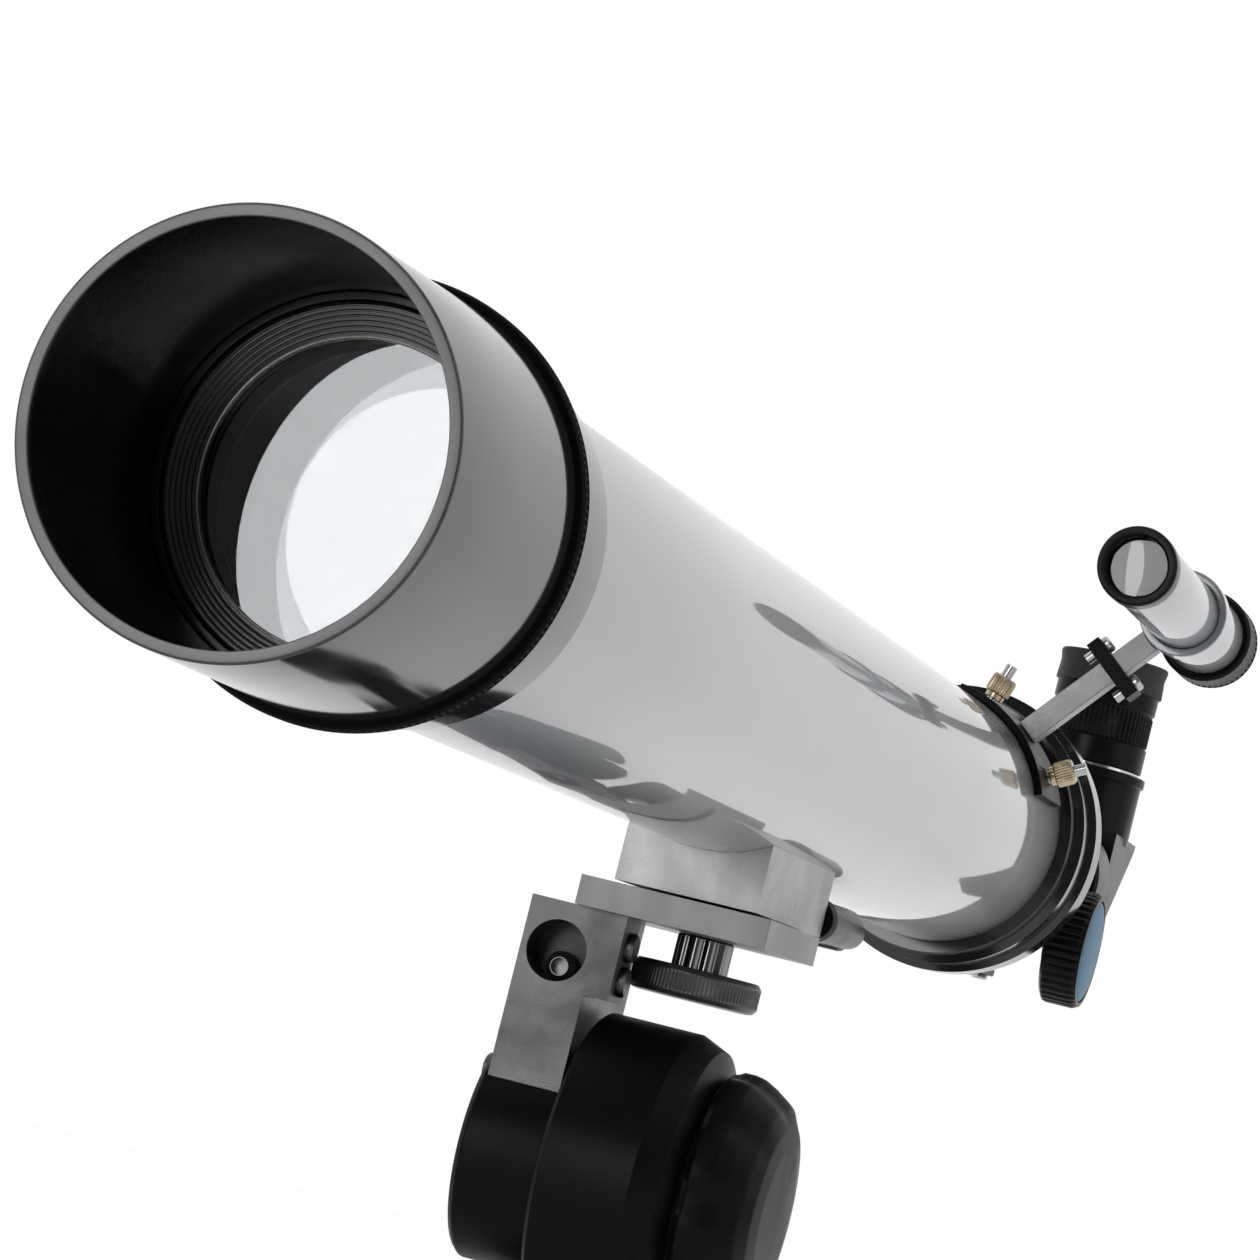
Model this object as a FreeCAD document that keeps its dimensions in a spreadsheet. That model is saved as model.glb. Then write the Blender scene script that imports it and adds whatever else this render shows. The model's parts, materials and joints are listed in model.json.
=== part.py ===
import FreeCAD, Part
import math
import os
import Sketcher

# Refractor telescope on a one-arm alt-azimuth head, in millimetres.
# +Z is up, the objective looks along -Y and +X is the telescope's left-hand side.
# The origin is the centre of the head's bottom face, where the tripod screw enters.

Vector = FreeCAD.Vector
Rotation = FreeCAD.Rotation
document = FreeCAD.newDocument("refractor_telescope")

# ---------------------------------------------------------------- driving dimensions
DRIVING = {
    # optical tube
    "front_reach": 410, "tube_radius": 33.75, "tube_wall": 1.2, "tube_length": 569,
    "dew_front_radius": "=tube_radius + 4.25", "dew_rear_radius": "=tube_radius + 5.25",
    "dew_inner_radius": "=tube_radius + 1.95", "dew_band_radius": "=tube_radius + 7.05",
    "dew_length": 71, "dew_band_width": 5.5,
    # objective
    "lens_radius": 30.0, "clear_radius": "=lens_radius - 2.2", "ring_radius": "=lens_radius + 4.1",
    "lip_radius": "=lens_radius - 1.8",
    "cell_nose": 12, "cell_collar_radius": "=tube_radius + 3.05", "cell_collar_length": 30.5,
    "spigot_length": 14,
    "crown_middle": 6.0, "crown_front_curve": 560, "crown_rear_curve": 410,
    "flint_middle": 3.0, "flint_front_curve": 412, "lens_gap": 0.3, "ring_thickness": 3.6,
    "baffle_hole_radius": 25.0, "baffle_spacing": 200,
    # focuser
    "focuser_radius": "=tube_radius + 7.25", "barrel_radius": "=draw_radius + 6", "barrel_length": 42,
    "draw_radius": 18.0, "draw_wall": 1.2, "draw_length": 172, "draw_out": 86,
    "gear_module": 0.6, "gear_width": 9, "shaft_radius": 2.0, "pinion_place": 58,
    "focus_knob_radius": 17, "focus_knob_width": 13, "focus_knob_gap": 28, "cap_thickness": 1.6,
    # star diagonal and eyepiece
    "push_fit_radius": 15.85, "holder_radius": "=draw_radius + 3", "holder_length": 28,
    "diagonal_half": "=push_fit_radius + 1.15",
    "eyepiece_reach": 32, "socket_length": 20, "eyepiece_barrel": 19,
    "eyepiece_body_radius": "=push_fit_radius + 0.65",
    "eyepiece_body_length": 28, "eyecup_length": 10,
    # finder
    "finder_distance": 90, "finder_reach": 136, "finder_barrel_radius": 9.8,
    "finder_front_length": 92, "finder_rear_radius": 10.8, "finder_rear_length": 40,
    "finder_eye_radius": 12.9, "finder_eye_length": 23, "foot_thickness": 2.2, "foot_length": 34,
    "foot_reach": 36, "stalk_width": 6.5, "stud_radius": 1.6, "finder_nut_radius": 3.5,
    # saddle, plate and arm
    "saddle_half": 17.3, "saddle_start": 388, "saddle_length": 75, "saddle_bottom": "=tube_radius + 11.35",
    "plate_gap": 0.7, "plate_thickness": 7.0, "plate_start": 385, "plate_length": 58,
    "plate_left": 24.4, "plate_right": 21.6, "arm_left": 35.5, "arm_right": 18.0,
    "arm_depth": 43, "knob_screw_radius": 4.0, "saddle_knob_radius": 15.5,
    "handle_radius": 5.6, "handle_length": 50, "handle_drop": "=tube_radius + 7.25",
    # altitude knuckle and azimuth base
    "axis_drop": "=saddle_bottom + 66.9", "altitude_height": 92, "hub_radius": 27, "knuckle_radius": 37,
    "knuckle_left": 15.5, "knuckle_right": 16, "altitude_bolt_radius": 5,
    "altitude_knob_radius": "=knuckle_radius - 6", "altitude_knob_width": 17,
    "base_radius": 34, "base_height": 36, "turntable_height": 10, "spindle_radius": 8,
    "tripod_thread_radius": 4.76, "tripod_thread_depth": 12,
    # clearances
    "running_fit": 0.05, "face_gap": 0.05, "seat_gap": 0.1,
}
FINDER_ANGLE = 49.5         # degrees round the tube from +X to the finder
STUD_SPREAD = 22.0          # degrees from the finder's stalk to each stud
GEAR_TEETH = 14
PRESSURE_ANGLE = 20.0
GEAR_BACKLASH = 0.16
DRAW_IN, DRAW_OUT_MORE = 60.0, 20.0     # travel of the draw tube each way from the drawn pose

STUD_ANGLES = {"upper": FINDER_ANGLE + STUD_SPREAD, "lower": FINDER_ANGLE - STUD_SPREAD}
SCREW_RADIUS, SCREW_HEAD, SCREW_LENGTH = 2.0, 3.6, 9.0      # the bracket's M4 screws
HUB_SCREWS = {"front": -10.0, "rear": 10.0}
HUB_SCREW_RISE = 17.5       # the arm's two hub screws stand this far above the altitude axis
HUB_LEFT = 37.5             # outer face of the arm's hub, measured from the tube's axis
BOLT_HEAD_RADIUS, BOLT_HEAD_HEIGHT = 9.0, 6.0               # the altitude axle's head
DISC_THICKNESS = 1.0        # friction discs on both sides of the knuckle
HANDLE_STEM = 2.0           # radius of the handle's threaded stem
HANDLE_THREAD = 10.0        # how far it screws into the saddle
HANDLE_SIDE = 14.5
KNOB_PLACE = 10.0           # the saddle's clamping screw stands this far behind the altitude axis
WASHER_THICKNESS = 1.0
HOUSING_WIDTH, HOUSING_LENGTH = 26.0, 24.0                  # the pinion's housing, seen from below
COVER_THICKNESS = 2.2
COVER_SCREW_SIDE, COVER_SCREW_REACH = 9.5, 8.5
DIAGONAL_COVER_DEPTH = 3.7  # the diagonal's back plate lies this far behind the light's corner
FOOT_SPAN = 64.0            # degrees of the tube that the finder's foot covers

sheet = document.addObject("Spreadsheet::Sheet", "sizes")
for row, (alias, number) in enumerate(DRIVING.items(), start=1):
    sheet.set(f"A{row}", alias)
    sheet.set(f"B{row}", str(number))
    sheet.setAlias(f"B{row}", alias)
document.recompute()


class Size:
    """A size with both its FreeCAD expression and its present value."""

    def __init__(self, text, value):
        self.text = text
        self.value = value

    def combine(self, other, sign, function):
        return Size(f"({self.text} {sign} {text_of(other)})", function(self.value, value_of(other)))

    def __add__(self, other):
        return self.combine(other, "+", lambda a, b: a + b)

    def __sub__(self, other):
        return self.combine(other, "-", lambda a, b: a - b)

    def __mul__(self, other):
        return self.combine(other, "*", lambda a, b: a * b)

    def __truediv__(self, other):
        return self.combine(other, "/", lambda a, b: a / b)

    def __radd__(self, other):
        return self + other

    def __rmul__(self, other):
        return self * other

    def __rsub__(self, other):
        return Size(f"({text_of(other)} - {self.text})", value_of(other) - self.value)

    def __neg__(self):
        return Size(f"(0 - {self.text})", -self.value)


def text_of(size):
    return size.text if isinstance(size, Size) else f"({size})"


def value_of(size):
    return size.value if isinstance(size, Size) else size


def driving(alias):
    """The named dimension of the sheet."""
    return Size(f"sizes.{alias}", float(sheet.get(alias)))


def sagitta(curve, radius):
    """Depth of a spherical face of the given curve at a radius."""
    depth = value_of(curve) - math.sqrt(value_of(curve) ** 2 - value_of(radius) ** 2)
    return Size(f"({text_of(curve)} - sqrt({text_of(curve)}^2 - {text_of(radius)}^2))", depth)


# ---------------------------------------------------------------- ways to make a piece
nodes = []
FORWARD, RIGHT, UP = Vector(0, 1, 0), Vector(1, 0, 0), Vector(0, 0, 1)


def round_the_tube(angle):
    """Unit vector that points away from the tube's axis at an angle from +X."""
    return Vector(math.cos(math.radians(angle)), 0, math.sin(math.radians(angle)))


def bind(item, field, size):
    """Give a property its value, and its expression when the size comes from the sheet."""
    if isinstance(size, Size):
        item.setExpression(field, size.text)
    elif field.startswith("Placement.Base."):
        place = item.Placement
        setattr(place.Base, field[-1], float(size))
        item.Placement = place
    else:
        setattr(item, field, size)


def put(item, place, rotation=None):
    """Set where a piece stands and how it is turned."""
    if rotation is not None:
        item.Placement = FreeCAD.Placement(Vector(0, 0, 0), rotation)
    for letter, size in zip("xyz", place):
        bind(item, f"Placement.Base.{letter}", size)
    return item


def keep(item, label):
    """Make an object one of the telescope's pieces."""
    item.Label = label
    nodes.append(item)
    return item


def plane(body, role):
    return next(face for face in body.Origin.OriginFeatures if face.Role == role)


def draw_outline(sketch, points):
    """Closed outline of straight lines, each corner held by two bound dimensions."""
    corners = [Vector(value_of(across), value_of(along), 0) for across, along in points]
    count = len(corners)
    for index in range(count):
        sketch.addGeometry(Part.LineSegment(corners[index], corners[(index + 1) % count]))
    for index in range(count):
        sketch.addConstraint(Sketcher.Constraint("Coincident", index, 2, (index + 1) % count, 1))
    for index, (across, along) in enumerate(points):
        for kind, size, axis in (("DistanceX", across, -2), ("DistanceY", along, -1)):
            if not isinstance(size, Size) and size == 0:
                sketch.addConstraint(Sketcher.Constraint("PointOnObject", index, 1, axis))
                continue
            number = sketch.addConstraint(Sketcher.Constraint(kind, index, 1, value_of(size)))
            if isinstance(size, Size):
                sketch.setExpression(f"Constraints[{number}]", size.text)


def new_sketch(body, name, role):
    sketch = body.newObject("Sketcher::SketchObject", name)
    sketch.AttachmentSupport = [(plane(body, role), "")]
    sketch.MapMode = "FlatFace"
    return sketch


def turned(label, points, place, direction=FORWARD):
    """Body of revolution. Points are (radius, distance along the axis) from its place."""
    body = document.addObject("PartDesign::Body", label)
    sketch = new_sketch(body, label + "_outline", "XY_Plane")
    draw_outline(sketch, points)
    turn = body.newObject("PartDesign::Revolution", label + "_turn")
    turn.Profile = sketch
    turn.ReferenceAxis = (sketch, ["V_Axis"])
    turn.Angle = 360
    body.Tip = turn
    return put(body, place, Rotation(FORWARD, direction))


def extruded(label, points, depth, place, role="YZ_Plane"):
    """Straight extrusion, centred on its sketch plane."""
    body = document.addObject("PartDesign::Body", label)
    sketch = new_sketch(body, label + "_outline", role)
    draw_outline(sketch, points)
    pad = body.newObject("PartDesign::Pad", label + "_pad")
    pad.Profile = sketch
    pad.Midplane = True
    bind(pad, "Length", depth)
    body.Tip = pad
    return put(body, place)


def box(label, size, corner):
    """Straight block from its lowest corner."""
    block = document.addObject("Part::Box", label)
    for field, length in zip(("Length", "Width", "Height"), size):
        bind(block, field, length)
    return put(block, corner)


def rod(label, radius, length, start, direction):
    """Straight round rod from its start along a direction."""
    cylinder = document.addObject("Part::Cylinder", label)
    bind(cylinder, "Radius", radius)
    bind(cylinder, "Height", length)
    return put(cylinder, start, Rotation(UP, direction))


def along(start, direction, distance):
    """The point a distance from a start, with each part still tied to the sheet."""
    return [base + distance * step if abs(step) > 1e-9 else base
            for base, step in zip(start, (direction.x, direction.y, direction.z))]


def join(label, pieces):
    fusion = document.addObject("Part::MultiFuse", label)
    fusion.Shapes = pieces
    fusion.Refine = True
    return fusion


def cut(label, base, tools):
    """A base with one or more tools taken away."""
    tool = tools[0] if len(tools) == 1 else join(label + "_tools", tools)
    result = document.addObject("Part::Cut", label)
    result.Base = base
    result.Tool = tool
    result.Refine = True
    return result


def group(label, pieces):
    """Several alike pieces that share one node."""
    compound = document.addObject("Part::Compound", label)
    compound.Links = pieces
    return compound


def screw(label, head_radius, head_height, shank_radius, shank_length, seat, direction):
    """Plain-headed screw whose head sits on its seat, with the shank along the direction."""
    points = [(0, 0), (shank_radius, 0), (shank_radius, shank_length), (head_radius, shank_length),
              (head_radius, shank_length + head_height * 0.7),
              (head_radius - 0.3 * head_height, shank_length + head_height), (0, shank_length + head_height)]
    tip = along(seat, direction, shank_length)
    return turned(label, points, tip, -direction)


def thumb_screw(label, head_radius, head_length, neck, shank_radius, reach, tip, direction):
    """Turned hand screw. Its tip is at the tip point and its head lies along the direction."""
    start = reach + neck
    points = [(0, 0), (shank_radius, 0), (shank_radius, reach), (shank_radius + 1.2, reach),
              (shank_radius + 1.2, start), (head_radius, start + 0.8),
              (head_radius, start + head_length - 0.8), (head_radius - 0.8, start + head_length),
              (0, start + head_length)]
    return turned(label, points, tip, direction)


# ---------------------------------------------------------------- shared places
front = -driving("front_reach")
axis_height = driving("altitude_height") + driving("axis_drop")
tube_radius = driving("tube_radius")
tube_bore = tube_radius - driving("tube_wall")
fit = driving("running_fit")
face_gap = driving("face_gap")
seat_gap = driving("seat_gap")
tube_start = driving("dew_length") + driving("dew_band_width") + driving("cell_collar_length")
tube_end = tube_start + driving("tube_length")
foot_place = tube_end - driving("foot_reach")


def on_tube(distance):
    """Point of the tube's axis at a distance behind the dew shield's rim."""
    return [0, front + distance, axis_height]


# ---------------------------------------------------------------- dew shield and objective
def make_objective():
    dew_inner = driving("dew_inner_radius")
    dew_length = driving("dew_length")
    shield_end = dew_length + driving("dew_band_width")
    band = driving("dew_band_radius")
    keep(turned("dew_shield", [
        (dew_inner, 0.8), (dew_inner + 0.6, 0), (driving("dew_front_radius") - 0.5, 0),
        (driving("dew_front_radius"), 0.6), (driving("dew_rear_radius"), dew_length),
        (band, dew_length + 0.4), (band, shield_end - 0.6), (band - 0.6, shield_end),
        (dew_inner, shield_end)], on_tube(0)), "dew_shield")

    cell_start = shield_end - driving("cell_nose")
    collar_end = driving("cell_nose") + driving("cell_collar_length")
    spigot_end = collar_end + driving("spigot_length")
    lens_bore = driving("lens_radius") + seat_gap
    ring_seat = driving("ring_thickness") + 1.1
    crown_front = sagitta(driving("crown_front_curve"), driving("lens_radius"))
    crown_rear = sagitta(driving("crown_rear_curve"), driving("lens_radius"))
    flint_front = sagitta(driving("flint_front_curve"), driving("lens_radius"))
    crown_edge = driving("crown_middle") - crown_front - crown_rear
    flint_edge = driving("flint_middle") + flint_front
    crown_at = ring_seat + 0.15
    spacer_at = crown_at + crown_edge + 0.15
    flint_at = spacer_at + driving("lens_gap")
    lip_at = flint_at + flint_edge
    nose = dew_inner - fit
    collar = driving("cell_collar_radius")
    spigot = tube_bore - fit
    ring_bore = driving("ring_radius") + fit
    keep(turned("objective_cell", [
        (ring_bore, 0), (nose - 0.4, 0), (nose, 0.4), (nose, driving("cell_nose")),
        (collar - 0.4, driving("cell_nose")), (collar, driving("cell_nose") + 0.4),
        (collar, collar_end - 0.8), (collar - 0.8, collar_end), (spigot, collar_end),
        (spigot, spigot_end), (spigot - 2, spigot_end), (spigot - 2, lip_at + 4),
        (driving("lip_radius"), lip_at + 2.5), (driving("lip_radius"), lip_at),
        (lens_bore, lip_at), (lens_bore, ring_seat), (ring_bore, ring_seat)],
        on_tube(cell_start)), "objective_cell")
    clear = driving("clear_radius")
    keep(turned("lens_retaining_ring", [
        (clear, driving("ring_thickness")), (clear, 2.2), (clear + 0.5, 1.7),
        (driving("ring_radius") - 1.6, 0),
        (driving("ring_radius"), 0), (driving("ring_radius"), driving("ring_thickness"))],
        on_tube(cell_start + 1.1)), "lens_retaining_ring")

    def blank(label, start, length):
        return rod(label, driving("lens_radius"), length, on_tube(cell_start + start), FORWARD)

    def ball(label, curve, centre):
        sphere = document.addObject("Part::Sphere", label)
        bind(sphere, "Radius", curve)
        return put(sphere, on_tube(cell_start + centre))

    crown = document.addObject("Part::MultiCommon", "objective_crown")
    front_vertex = crown_at - crown_front
    crown.Shapes = [
        blank("crown_blank", front_vertex - 1, driving("crown_middle") + 2),
        ball("crown_front_face", driving("crown_front_curve"), front_vertex + driving("crown_front_curve")),
        ball("crown_rear_face", driving("crown_rear_curve"),
             front_vertex + driving("crown_middle") - driving("crown_rear_curve"))]
    keep(crown, "objective_crown")
    keep(turned("lens_spacer", [
        (driving("lens_radius") - 1.8, 0), (driving("lens_radius"), 0),
        (driving("lens_radius"), driving("lens_gap")), (driving("lens_radius") - 1.8, driving("lens_gap"))],
        on_tube(cell_start + spacer_at)), "lens_spacer")
    hollow = ball("flint_front_face", driving("flint_front_curve"),
                  flint_at + flint_front - driving("flint_front_curve"))
    keep(cut("objective_flint", blank("flint_blank", flint_at, flint_edge), [hollow]), "objective_flint")


# ---------------------------------------------------------------- main tube, baffles and saddle
def make_tube():
    length = driving("tube_length")
    tube = turned("tube_blank", [(tube_bore, 0), (tube_radius, 0), (tube_radius, length),
                                 (tube_bore, length)], on_tube(tube_start))
    holes = [rod(f"tube_stud_hole_{side}", driving("stud_radius") + fit, 8,
                 along(on_tube(foot_place), round_the_tube(angle), tube_radius - 4),
                 round_the_tube(angle))
             for side, angle in STUD_ANGLES.items()]
    holes += [rod(f"tube_saddle_hole_{side}", SCREW_RADIUS + fit, 5, place, -UP)
              for side, place in saddle_screw_seats(2).items()]
    keep(cut("main_tube", tube, holes), "main_tube")
    opening = driving("baffle_hole_radius")
    outside = tube_bore - fit
    cup = [(opening, 0), (outside, 0), (outside, 8), (outside - 0.8, 8), (outside - 0.8, 0.8), (opening, 0.8)]
    keep(group("tube_baffles", [
        turned(f"{name}_baffle", cup, on_tube(tube_start + driving("baffle_spacing") * number))
        for number, name in enumerate(("front", "rear"), start=1)]), "tube_baffles")


bracket_screws = []         # one size of screw holds the saddle, plate, lug, arm and hub together


def bracket_screw(label, seat, direction):
    return screw(label, SCREW_HEAD, 1.9, SCREW_RADIUS, SCREW_LENGTH, seat, direction)


def saddle_screw_seats(rise):
    """Where the saddle's two screws cross a level just above the inside of the tube's floor."""
    middle = driving("saddle_start") + driving("saddle_length") / 2
    reach = driving("saddle_length") / 2 - 8
    level = axis_height - tube_bore + rise
    return {"front": [0, front + middle - reach, level], "rear": [0, front + middle + reach, level]}


def make_saddle():
    half = driving("saddle_half")
    bottom = axis_height - driving("saddle_bottom")
    start = front + driving("saddle_start")
    block = box("saddle_block", (half * 2, driving("saddle_length"), 16.4), (-half, start, bottom))
    seat = rod("saddle_seat", tube_radius + fit, driving("saddle_length") + 20,
               [0, start - 10, axis_height], FORWARD)
    knob_hole = rod("saddle_thread", driving("knob_screw_radius") + fit, 8,
                    [0, KNOB_PLACE, bottom - 0.5], UP)
    handle_hole = rod("saddle_handle_hole", HANDLE_STEM + fit, 12,
                      [HANDLE_SIDE, start + driving("saddle_length") - 11,
                       axis_height - driving("handle_drop")], FORWARD)
    screw_holes = [rod(f"saddle_screw_hole_{side}", SCREW_RADIUS + fit, SCREW_LENGTH + 2, place, -UP)
                   for side, place in saddle_screw_seats(1).items()]
    keep(cut("tube_saddle", block, [seat, knob_hole, handle_hole] + screw_holes), "tube_saddle")
    bracket_screws.extend(bracket_screw(f"saddle_screw_{side}", place, -UP)
                          for side, place in saddle_screw_seats(0.45).items())
    stem_start = start + driving("saddle_length") - HANDLE_THREAD
    grip = driving("handle_radius")
    end = HANDLE_THREAD + driving("handle_length")
    keep(turned("pan_handle", [
        (0, 0), (HANDLE_STEM, 0), (HANDLE_STEM, HANDLE_THREAD + 1), (grip - 0.6, HANDLE_THREAD + 1),
        (grip, HANDLE_THREAD + 4), (grip - 0.8, HANDLE_THREAD + 22), (grip - 1.2, end - 3), (grip - 2.5, end),
        (0, end)], [HANDLE_SIDE, stem_start, axis_height - driving("handle_drop")]), "pan_handle")


def make_plate():
    """Plate, lug and arm between the saddle and the altitude axis, with their bolts."""
    saddle_bottom = axis_height - driving("saddle_bottom")
    plate_top = saddle_bottom - driving("plate_gap")
    plate_bottom = plate_top - driving("plate_thickness")
    plate_start = front + driving("plate_start")
    screw_radius = driving("knob_screw_radius")
    arm_left, arm_right = driving("arm_left"), driving("arm_right")
    lug_width, lug_drop, lug_depth, lug_front = 6.0, 20.0, 14.0, -22.0
    lug_middle = [-arm_right + lug_width / 2, lug_front + lug_depth / 2]
    plate_width = driving("plate_left") + driving("plate_right")
    plate = box("plate_blank", (plate_width, driving("plate_length"), driving("plate_thickness")),
                (-driving("plate_left"), plate_start, plate_bottom))
    boss = rod("plate_boss", 9, driving("plate_gap") + 1 - face_gap, [0, KNOB_PLACE, plate_top - 1], UP)
    plate_holes = [rod("plate_knob_hole", screw_radius + 0.3, 12, [0, KNOB_PLACE, plate_bottom - 1], UP)]
    lug_screw_places = {"front": lug_middle[1] - 3.6, "rear": lug_middle[1] + 3.6}
    for name, place in lug_screw_places.items():
        plate_holes += [
            rod(f"plate_{name}_hole", SCREW_RADIUS + fit, 9, [lug_middle[0], place, plate_bottom - 1], UP),
            rod(f"plate_{name}_sink", SCREW_HEAD + 0.2, 4, [lug_middle[0], place, plate_top - 2.5], UP)]
    keep(cut("mount_plate", join("plate_with_boss", [plate, boss]), plate_holes), "mount_plate")

    # clamping hand screw below the plate
    neck, head, neck_radius, thread_reach = 7.7, 7.5, 6.8, 7
    head_bottom = plate_bottom - face_gap - neck - head
    thread_end = neck + head + driving("plate_thickness") + driving("plate_gap") + thread_reach
    knob = driving("saddle_knob_radius")
    keep(turned("saddle_knob", [
        (0, 0), (knob - 1, 0), (knob, 1), (knob, head - 1), (knob - 1, head), (neck_radius, head),
        (neck_radius, head + neck),
        (screw_radius, head + neck), (screw_radius, thread_end), (0, thread_end)],
        [0, KNOB_PLACE, head_bottom], UP), "saddle_knob")

    # lug that hangs from the plate and is screwed to the arm's inner side
    lug_block = box("lug_block", (lug_width, lug_depth, lug_drop),
                    (-arm_right + fit, lug_front, plate_bottom - lug_drop))
    side_screws = {"upper": plate_bottom - 7, "lower": plate_bottom - 15}
    lug_holes = [rod(f"lug_{name}_screw_hole", SCREW_RADIUS + fit, 20,
                     [-arm_right - 1, lug_middle[1], level], RIGHT)
                 for name, level in side_screws.items()]
    lug_holes += [rod(f"lug_{name}_thread", SCREW_RADIUS + fit, 9, [lug_middle[0], place,
        plate_bottom - 8], UP)
                  for name, place in lug_screw_places.items()]
    keep(cut("plate_lug", lug_block, lug_holes), "plate_lug")
    bracket_screws.extend(bracket_screw(f"plate_screw_{name}", [lug_middle[0], place, plate_top - 2.45], -UP)
                          for name, place in lug_screw_places.items())
    bracket_screws.extend(
        bracket_screw(f"lug_screw_{name}", [-arm_right + lug_width + 2 * fit, lug_middle[1], level], -RIGHT)
        for name, level in side_screws.items())

    # arm with its long cross bolt, which sits low in a round pocket
    arm_bottom = driving("altitude_height") + 12
    pocket_radius, pocket_depth, bolt_radius, bolt_head, bolt_head_height = 7.2, 11.0, 3.0, 3.7, 5.0
    depth = driving("arm_depth")
    arm_front = -depth / 2
    middle = -(arm_left + arm_right) / 2
    pocket_height = plate_bottom - 11.5
    bolt_height = pocket_height - 3.4
    arm = box("arm_block", (arm_left - arm_right, depth, plate_bottom - arm_bottom),
              (-arm_left, arm_front, arm_bottom))
    sink = rod("arm_sink", pocket_radius, pocket_depth + 1, [middle, arm_front - 1, pocket_height], FORWARD)
    bore = rod("arm_bore", bolt_radius + fit, depth + 4, [middle, arm_front - 2, bolt_height], FORWARD)
    threads = [rod(f"arm_{name}_thread", SCREW_RADIUS + fit, 6, [-arm_right + 1, lug_middle[1], level],
                   -RIGHT)
               for name, level in side_screws.items()]
    keep(cut("tilt_arm", arm, [sink, bore] + threads + hub_screw_rods("arm")), "tilt_arm")
    seat = arm_front + pocket_depth
    socket = rod("cross_bolt_socket", 2.0, 3, [middle, seat - bolt_head_height - 0.05, bolt_height], FORWARD)
    bolt = screw("cross_bolt_blank", bolt_head, bolt_head_height, bolt_radius, depth - 13,
                 [middle, seat, bolt_height], FORWARD)
    keep(cut("cross_bolt", bolt, [socket]), "cross_bolt")
    return arm_bottom


def hub_screw_rods(prefix):
    """Bores for the two screws that hold the arm in its hub."""
    return [rod(f"{prefix}_hub_screw_hole_{name}", SCREW_RADIUS + fit, 14,
                [-HUB_LEFT - 1, place, driving("altitude_height") + HUB_SCREW_RISE], RIGHT)
            for name, place in HUB_SCREWS.items()]


def make_altitude(arm_bottom):
    height = driving("altitude_height")
    hub_radius = driving("hub_radius")
    knuckle_left = driving("knuckle_left")
    bolt_radius = driving("altitude_bolt_radius")
    hub_right = knuckle_left + DISC_THICKNESS + face_gap
    hub_width = HUB_LEFT - hub_right
    hub = turned("hub_blank", [(0, 0), (hub_radius - 1.5, 0), (hub_radius, 1.5), (hub_radius, hub_width - 1),
                               (hub_radius - 1, hub_width), (0, hub_width)], [-HUB_LEFT, 0, height], RIGHT)
    slot = box("hub_slot", (driving("arm_left") - driving("arm_right") + 2 * fit,
                            driving("arm_depth") + 2 * fit, 30),
               (-driving("arm_left") - fit, -driving("arm_depth") / 2 - fit, arm_bottom - fit))
    hub_hole = rod("hub_hole", bolt_radius + fit, HUB_LEFT, [-HUB_LEFT - 1, 0, height], RIGHT)
    head_pocket = rod("hub_head_pocket", BOLT_HEAD_RADIUS + seat_gap, BOLT_HEAD_HEIGHT + 1,
                      [-HUB_LEFT - 1, 0, height], RIGHT)
    keep(cut("arm_hub", hub, [slot, hub_hole, head_pocket] + hub_screw_rods("hub")), "arm_hub")
    bracket_screws.extend(bracket_screw(f"hub_screw_{name}", [-HUB_LEFT, place, height + HUB_SCREW_RISE],
                                        RIGHT)
                          for name, place in HUB_SCREWS.items())
    keep(group("bracket_screws", bracket_screws), "bracket_screws")
    disc_radius = hub_radius - 3
    disc = [(bolt_radius + fit, 0), (disc_radius, 0), (disc_radius, DISC_THICKNESS),
            (bolt_radius + fit, DISC_THICKNESS)]
    keep(group("altitude_discs", [
        turned("altitude_disc_left", disc, [-hub_right, 0, height], RIGHT),
        turned("altitude_disc_right", disc, [driving("knuckle_right") + face_gap, 0, height], RIGHT)]),
        "altitude_discs")
    knob_start = driving("knuckle_right") + DISC_THICKNESS + 3 * face_gap
    bolt_length = HUB_LEFT - BOLT_HEAD_HEIGHT + knob_start + driving("altitude_knob_width") - 4
    bolt_end = BOLT_HEAD_HEIGHT + bolt_length
    keep(turned("altitude_bolt", [
        (0, 0), (BOLT_HEAD_RADIUS, 0), (BOLT_HEAD_RADIUS, BOLT_HEAD_HEIGHT), (bolt_radius, BOLT_HEAD_HEIGHT),
        (bolt_radius, bolt_end), (0, bolt_end)], [-HUB_LEFT, 0, height], RIGHT), "altitude_bolt")
    knob_radius, knob_width = driving("altitude_knob_radius"), driving("altitude_knob_width")
    keep(turned("altitude_knob", [
        (bolt_radius + fit, 0), (knob_radius - 2, 0), (knob_radius, 2), (knob_radius, 7),
        (knob_radius - 5, knob_width - 2), (knob_radius - 7, knob_width), (0, knob_width),
        (0, knob_width - 3),
        (bolt_radius + fit, knob_width - 3)], [knob_start, 0, height], RIGHT), "altitude_knob")


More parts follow.
